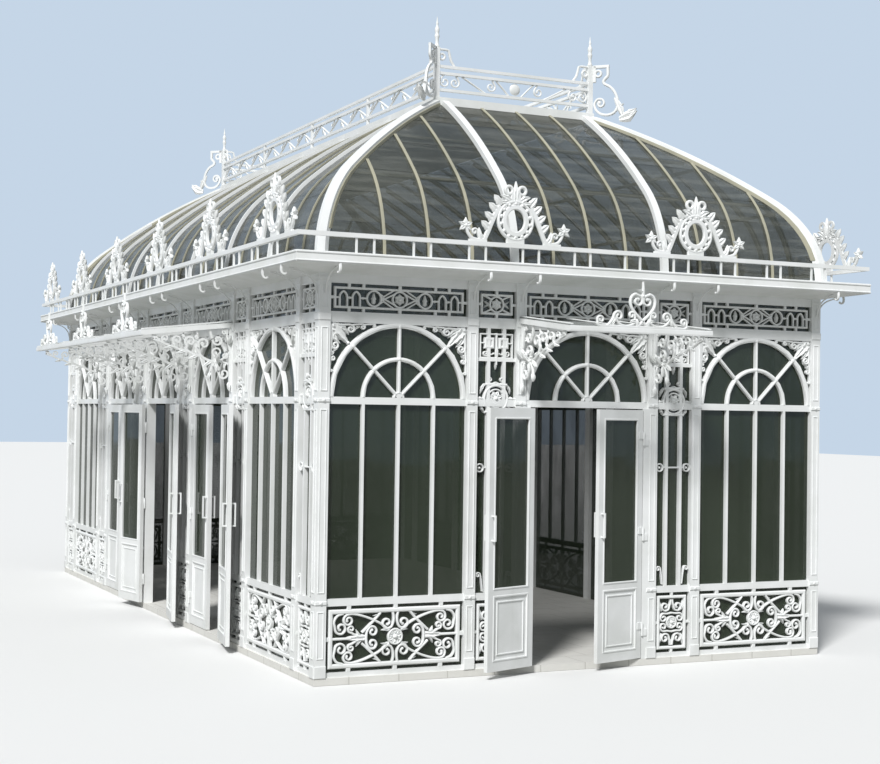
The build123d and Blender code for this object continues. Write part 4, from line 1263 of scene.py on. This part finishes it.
def canopyCrest():  # standing on the beam, centred
    front, back = -canopy["crestDepth"], canopy["crestDepth"]
    heart = [(-0.058, 0.004), (-0.022, 0.034), (0.012, 0.068), (0.062, 0.112), (0.106, 0.164), (0.122, 0.216),
             (0.108, 0.262), (0.074, 0.284)]
    side = [
        curl(heart, (0.049, 0.226), 0.054, 80, 390, 0.024, front, back, 0.7),
        curl([(0.048, 0.012), (0.068, 0.044), (0.076, 0.080)], (0.108, 0.104), 0.033, 200, -380, 0.019,
             front, back),
        barAlong(smooth([(0.058, 0.066), (0.088, 0.034), (0.138, 0.014), (0.190, 0.014), (0.236, 0.036),
                         (0.270, 0.080)]), 0.018, front, back),
        curl([(0.352, 0.006), (0.322, 0.030), (0.290, 0.072)], (0.237, 0.094), 0.043, 25, 390, 0.021,
             front, back),
        curl([(0.350, 0.008), (0.415, 0.008), (0.442, 0.026)], (0.408, 0.058), 0.037, -35, 390, 0.019,
             front, back),
        freeLeaf([(0.060, 0.050), (0.092, 0.058), (0.122, 0.050)], 0.040, 2),
        freeLeaf([(0.030, 0.020), (0.052, 0.046), (0.058, 0.078)], 0.032, 2),
        freeLeaf([(0.300, 0.020), (0.282, 0.048), (0.276, 0.082)], 0.030, 2),
    ]
    parts = [bothSides(joined(side)), block(-0.40, 0.40, front, back, -0.001, 0.016, 0.003)]
    parts.append(barAlong([(0, 0.20), (0, 0.25), (0, 0.31)], 0.020, front, back))
    parts.append(barAlong([(0, 0.27), (0.004, 0.33), (0.002, 0.39)], 0.032, front, back, tip=0.2))
    parts.append(freeLeaf([(0.0, 0.295), (-0.026, 0.312), (-0.056, 0.318)], 0.024, 1))
    parts.append(freeDome(0, 0.268, 0.016))
    return joined(parts)


def doorPosts(wall):
    found = []
    for bay, centre, clear in bayCentres(wall):
        if bay == "D":
            found += [centre - clear / 2 - building["post"] / 2, centre + clear / 2 + building["post"] / 2]
    return found


crests = []
slope = canopy["drop"] / canopy["reach"]
lift = canopy["wallHeight"] + canopy["beam"] / 2 + 0.0005 + canopy["glass"]
barLine = [(0.0, lift + 0.006), (0.4, lift + 0.006 - 0.4 * slope),
           (canopy["barReach"], lift + 0.006 - canopy["barReach"] * slope)]
up = canopy["wallHeight"] - canopy["drop"] + canopy["beam"] / 2
depth = -canopy["reach"] - 0.0005 - canopy["crestDepth"]
face = -canopy["reach"] - 0.024
for wall, prefix in (("front", "front_canopy"), ("left", "side_canopy")):
    matrix = wallMatrix(wall)
    arms = doorPosts(wall)
    parts = [crosswise(canopyBracket(), along) for along in arms]
    makePiece(prefix + "_scroll_brackets", placed(joined(parts), matrix), ironPaint,
              replaces=[prefix + "_brackets"])
    for low, high in zip(arms[::2], arms[1::2]):
        crests.append(placed(shifted(canopyCrest(), (low + high) / 2, depth, up), matrix))
    bars = []
    first, last = arms[0], arms[-1]
    count = round((last - first) / canopy["barPitch"])
    for k in range(count + 1):
        bar = barAlong(barLine, canopy["bar"], -canopy["bar"], canopy["bar"])
        bars.append(crosswise(bar, first + (last - first) * k / count))
    level = up - canopy["beam"] / 2
    line = [(first - 0.022, level), ((first + last) / 2, level), (last + 0.022, level)]
    bars.append(barAlong(line, canopy["facing"], face, face + 0.003, bevel=0.4))
    makePiece(prefix + "_glazing_bars", placed(joined(bars), matrix), ironPaint)
makePiece("lyre_crests", joined(crests), ironPaint, replaces=["canopy_crests"])
print("canopies made")


# Door leaves: beads round the glass and a moulded panel, on both faces

leafLook = {
    "sideGap": 0.005,
    "width": 0.569,
    "bottom": 0.068,
    "top": 2.30,
    "stile": 0.075,
    "topRail": 0.095,
    "panelTop": 0.77,
    "pinOutside": 0.010,
    "thickness": 0.040,
    "frameWidth": 0.05,
}
leaves = {  # wall, bay, hinged on the left, degrees open
    "front_door_left": ("front", 2, True, 160.0),
    "front_door_right": ("front", 2, False, 16.0),
    "side_door_1_near": ("left", 7, False, 170.0),
    "side_door_1_far": ("left", 7, True, 0.0),
    "side_door_2_near": ("left", 5, False, 170.0),
    "side_door_2_far": ("left", 5, True, 170.0),
    "side_door_3_near": ("left", 3, False, 0.0),
    "side_door_3_far": ("left", 3, True, 0.0),
}


def leafTrim():  # hinged at 0 and reaching to +along
    look = leafLook
    left = look["sideGap"] + look["stile"]
    right = look["sideGap"] + look["width"] - look["stile"]
    middle = (left + right) / 2
    halfAlong = (right - left) / 2
    glassTop = look["top"] - look["topRail"]
    fieldLow = look["bottom"] + look["topRail"]
    fieldHigh = look["panelTop"] - look["stile"]
    beads = (  # low, high, growth, width, front and back
        (look["panelTop"], glassTop, 0.006, 0.016, -0.005, 0.008),
        (fieldLow, fieldHigh, 0.004, 0.018, -0.004, 0.009),
        (fieldLow, fieldHigh, -0.045, 0.012, 0.001, 0.010),
    )
    parts = []
    for face, turn in ((look["pinOutside"], 1), (look["pinOutside"] + look["thickness"], -1)):
        for low, high, grow, width, front, back in beads:
            points, faces = rectangleBar(middle, (low + high) / 2, halfAlong + grow, (high - low) / 2 + grow,
                                         width, front, back)
            points[:, 1] = face + turn * points[:, 1]
            parts.append((points, faces))
    return joined(parts)


trimOfLeaf = leafTrim()
jamb = leafLook["frameWidth"]
for name, (wall, bay, onLeft, angle) in leaves.items():
    kind, centre, clear = bayCentres(wall)[bay]
    pin = centre - clear / 2 + jamb if onLeft else centre + clear / 2 - jamb
    turn = math.radians(-angle if onLeft else angle)
    matrix = wallMatrix(wall) @ Matrix.Translation((pin, -leafLook["pinOutside"], 0))
    part = trimOfLeaf if onLeft else mirrored(trimOfLeaf, along=True)
    makePiece(name + "_trim", placed(part, matrix @ Matrix.Rotation(turn, 4, "Z")), ironPaint, body=name)
print("door trim made")


# Floor, light and camera

studio = {
    "floorSeen": (0.80, 0.80, 0.79, 1),
    "floorBounce": (0.36, 0.36, 0.34, 1),
    "sunStrength": 3.55,
    "sunHeight": 44.0,
    "sunFrom": (-1.0, -1.0),
    "sunSoftness": 11.0,
    "fill": 0.35,
    "fillColour": (0.90, 0.95, 1.0, 1),
    "backdrop": (0.56, 0.67, 0.80, 1),
    "floorLevel": -0.002,
    "floorReach": 60,
    "floorFar": 90,
}

floorMesh = bpy.data.meshes.new("studio floor")
reach, far, level = studio["floorReach"], studio["floorFar"], studio["floorLevel"]
floorCorners = [(-reach, -reach, level), (reach, -reach, level), (reach, far, level), (-reach, far, level)]
floorMesh.from_pydata(floorCorners, [], [(0, 1, 2, 3)])
floor = addObject("studio_floor", floorMesh)
floorFinish = Finish("studio floor paper", {"Roughness": 0.9, "Specular IOR Level": 0.2})
floorRay = floorFinish.node("ShaderNodeLightPath", {}, {}, "Is Camera Ray")
floorFinish.feed("Base Color", floorFinish.mix(floorRay, studio["floorBounce"], studio["floorSeen"]))
floorMesh.materials.append(floorFinish.material)

world = bpy.data.worlds.new("studio")
bpy.context.scene.world = world
world.use_nodes = True
background = world.node_tree.nodes["Background"]
rays = world.node_tree.nodes.new("ShaderNodeLightPath")
camera = Wire(world.node_tree, rays.outputs["Is Camera Ray"])
glossy = Wire(world.node_tree, rays.outputs["Is Glossy Ray"])
through = Wire(world.node_tree, rays.outputs["Is Transmission Ray"])
seen = (camera + glossy + through).clamped()
strength = seen * (1.0 - studio["fill"]) + studio["fill"]
world.node_tree.links.new(strength.socket, background.inputs["Strength"])
tint = world.node_tree.nodes.new("ShaderNodeMix")
tint.data_type = "RGBA"
tint.inputs[6].default_value = studio["fillColour"]
tint.inputs[7].default_value = studio["backdrop"]
world.node_tree.links.new(seen.socket, tint.inputs[0])
world.node_tree.links.new(tint.outputs[2], background.inputs["Color"])

sunData = bpy.data.lights.new("studio key", "SUN")
sunData.energy = studio["sunStrength"]
sunData.angle = math.radians(studio["sunSoftness"])
sun = addObject("studio_key", sunData)
height = math.radians(studio["sunHeight"])
level = math.cos(height) / math.hypot(*studio["sunFrom"])
towards = Vector((-studio["sunFrom"][0] * level, -studio["sunFrom"][1] * level, -math.sin(height)))
sun.rotation_euler = towards.to_track_quat("-Z", "Y").to_euler()

shot = {
    "place": (-7.120, -16.908, 2.236),
    "yaw": 0.4392,
    "pitch": 0.0206,
    "roll": 0.0142,
    "lens": 64.17,
    "sensor": 36.0,
    "clipEnd": 500.0,
}
cameraData = bpy.data.cameras.new("photo camera")
cameraData.sensor_width = shot["sensor"]
cameraData.lens = shot["lens"]
cameraData.clip_end = shot["clipEnd"]
cameraObject = addObject("photo_camera", cameraData)
yaw, pitch, roll = shot["yaw"], shot["pitch"], shot["roll"]
ahead = Vector((math.sin(yaw) * math.cos(pitch), math.cos(yaw) * math.cos(pitch), math.sin(pitch)))
across = Vector((math.cos(yaw), -math.sin(yaw), 0))
upward = across.cross(ahead)
rolledAcross = across * math.cos(roll) + upward * math.sin(roll)
rolledUp = upward * math.cos(roll) - across * math.sin(roll)
axes = Matrix((rolledAcross, rolledUp, -ahead)).transposed().to_4x4()
cameraObject.matrix_world = Matrix.Translation(shot["place"]) @ axes
bpy.context.scene.camera = cameraObject
bpy.context.scene.view_settings.view_transform = "Standard"

print("triangles added:", sum(triangles.values()), "most in one piece:", max(triangles.values()))
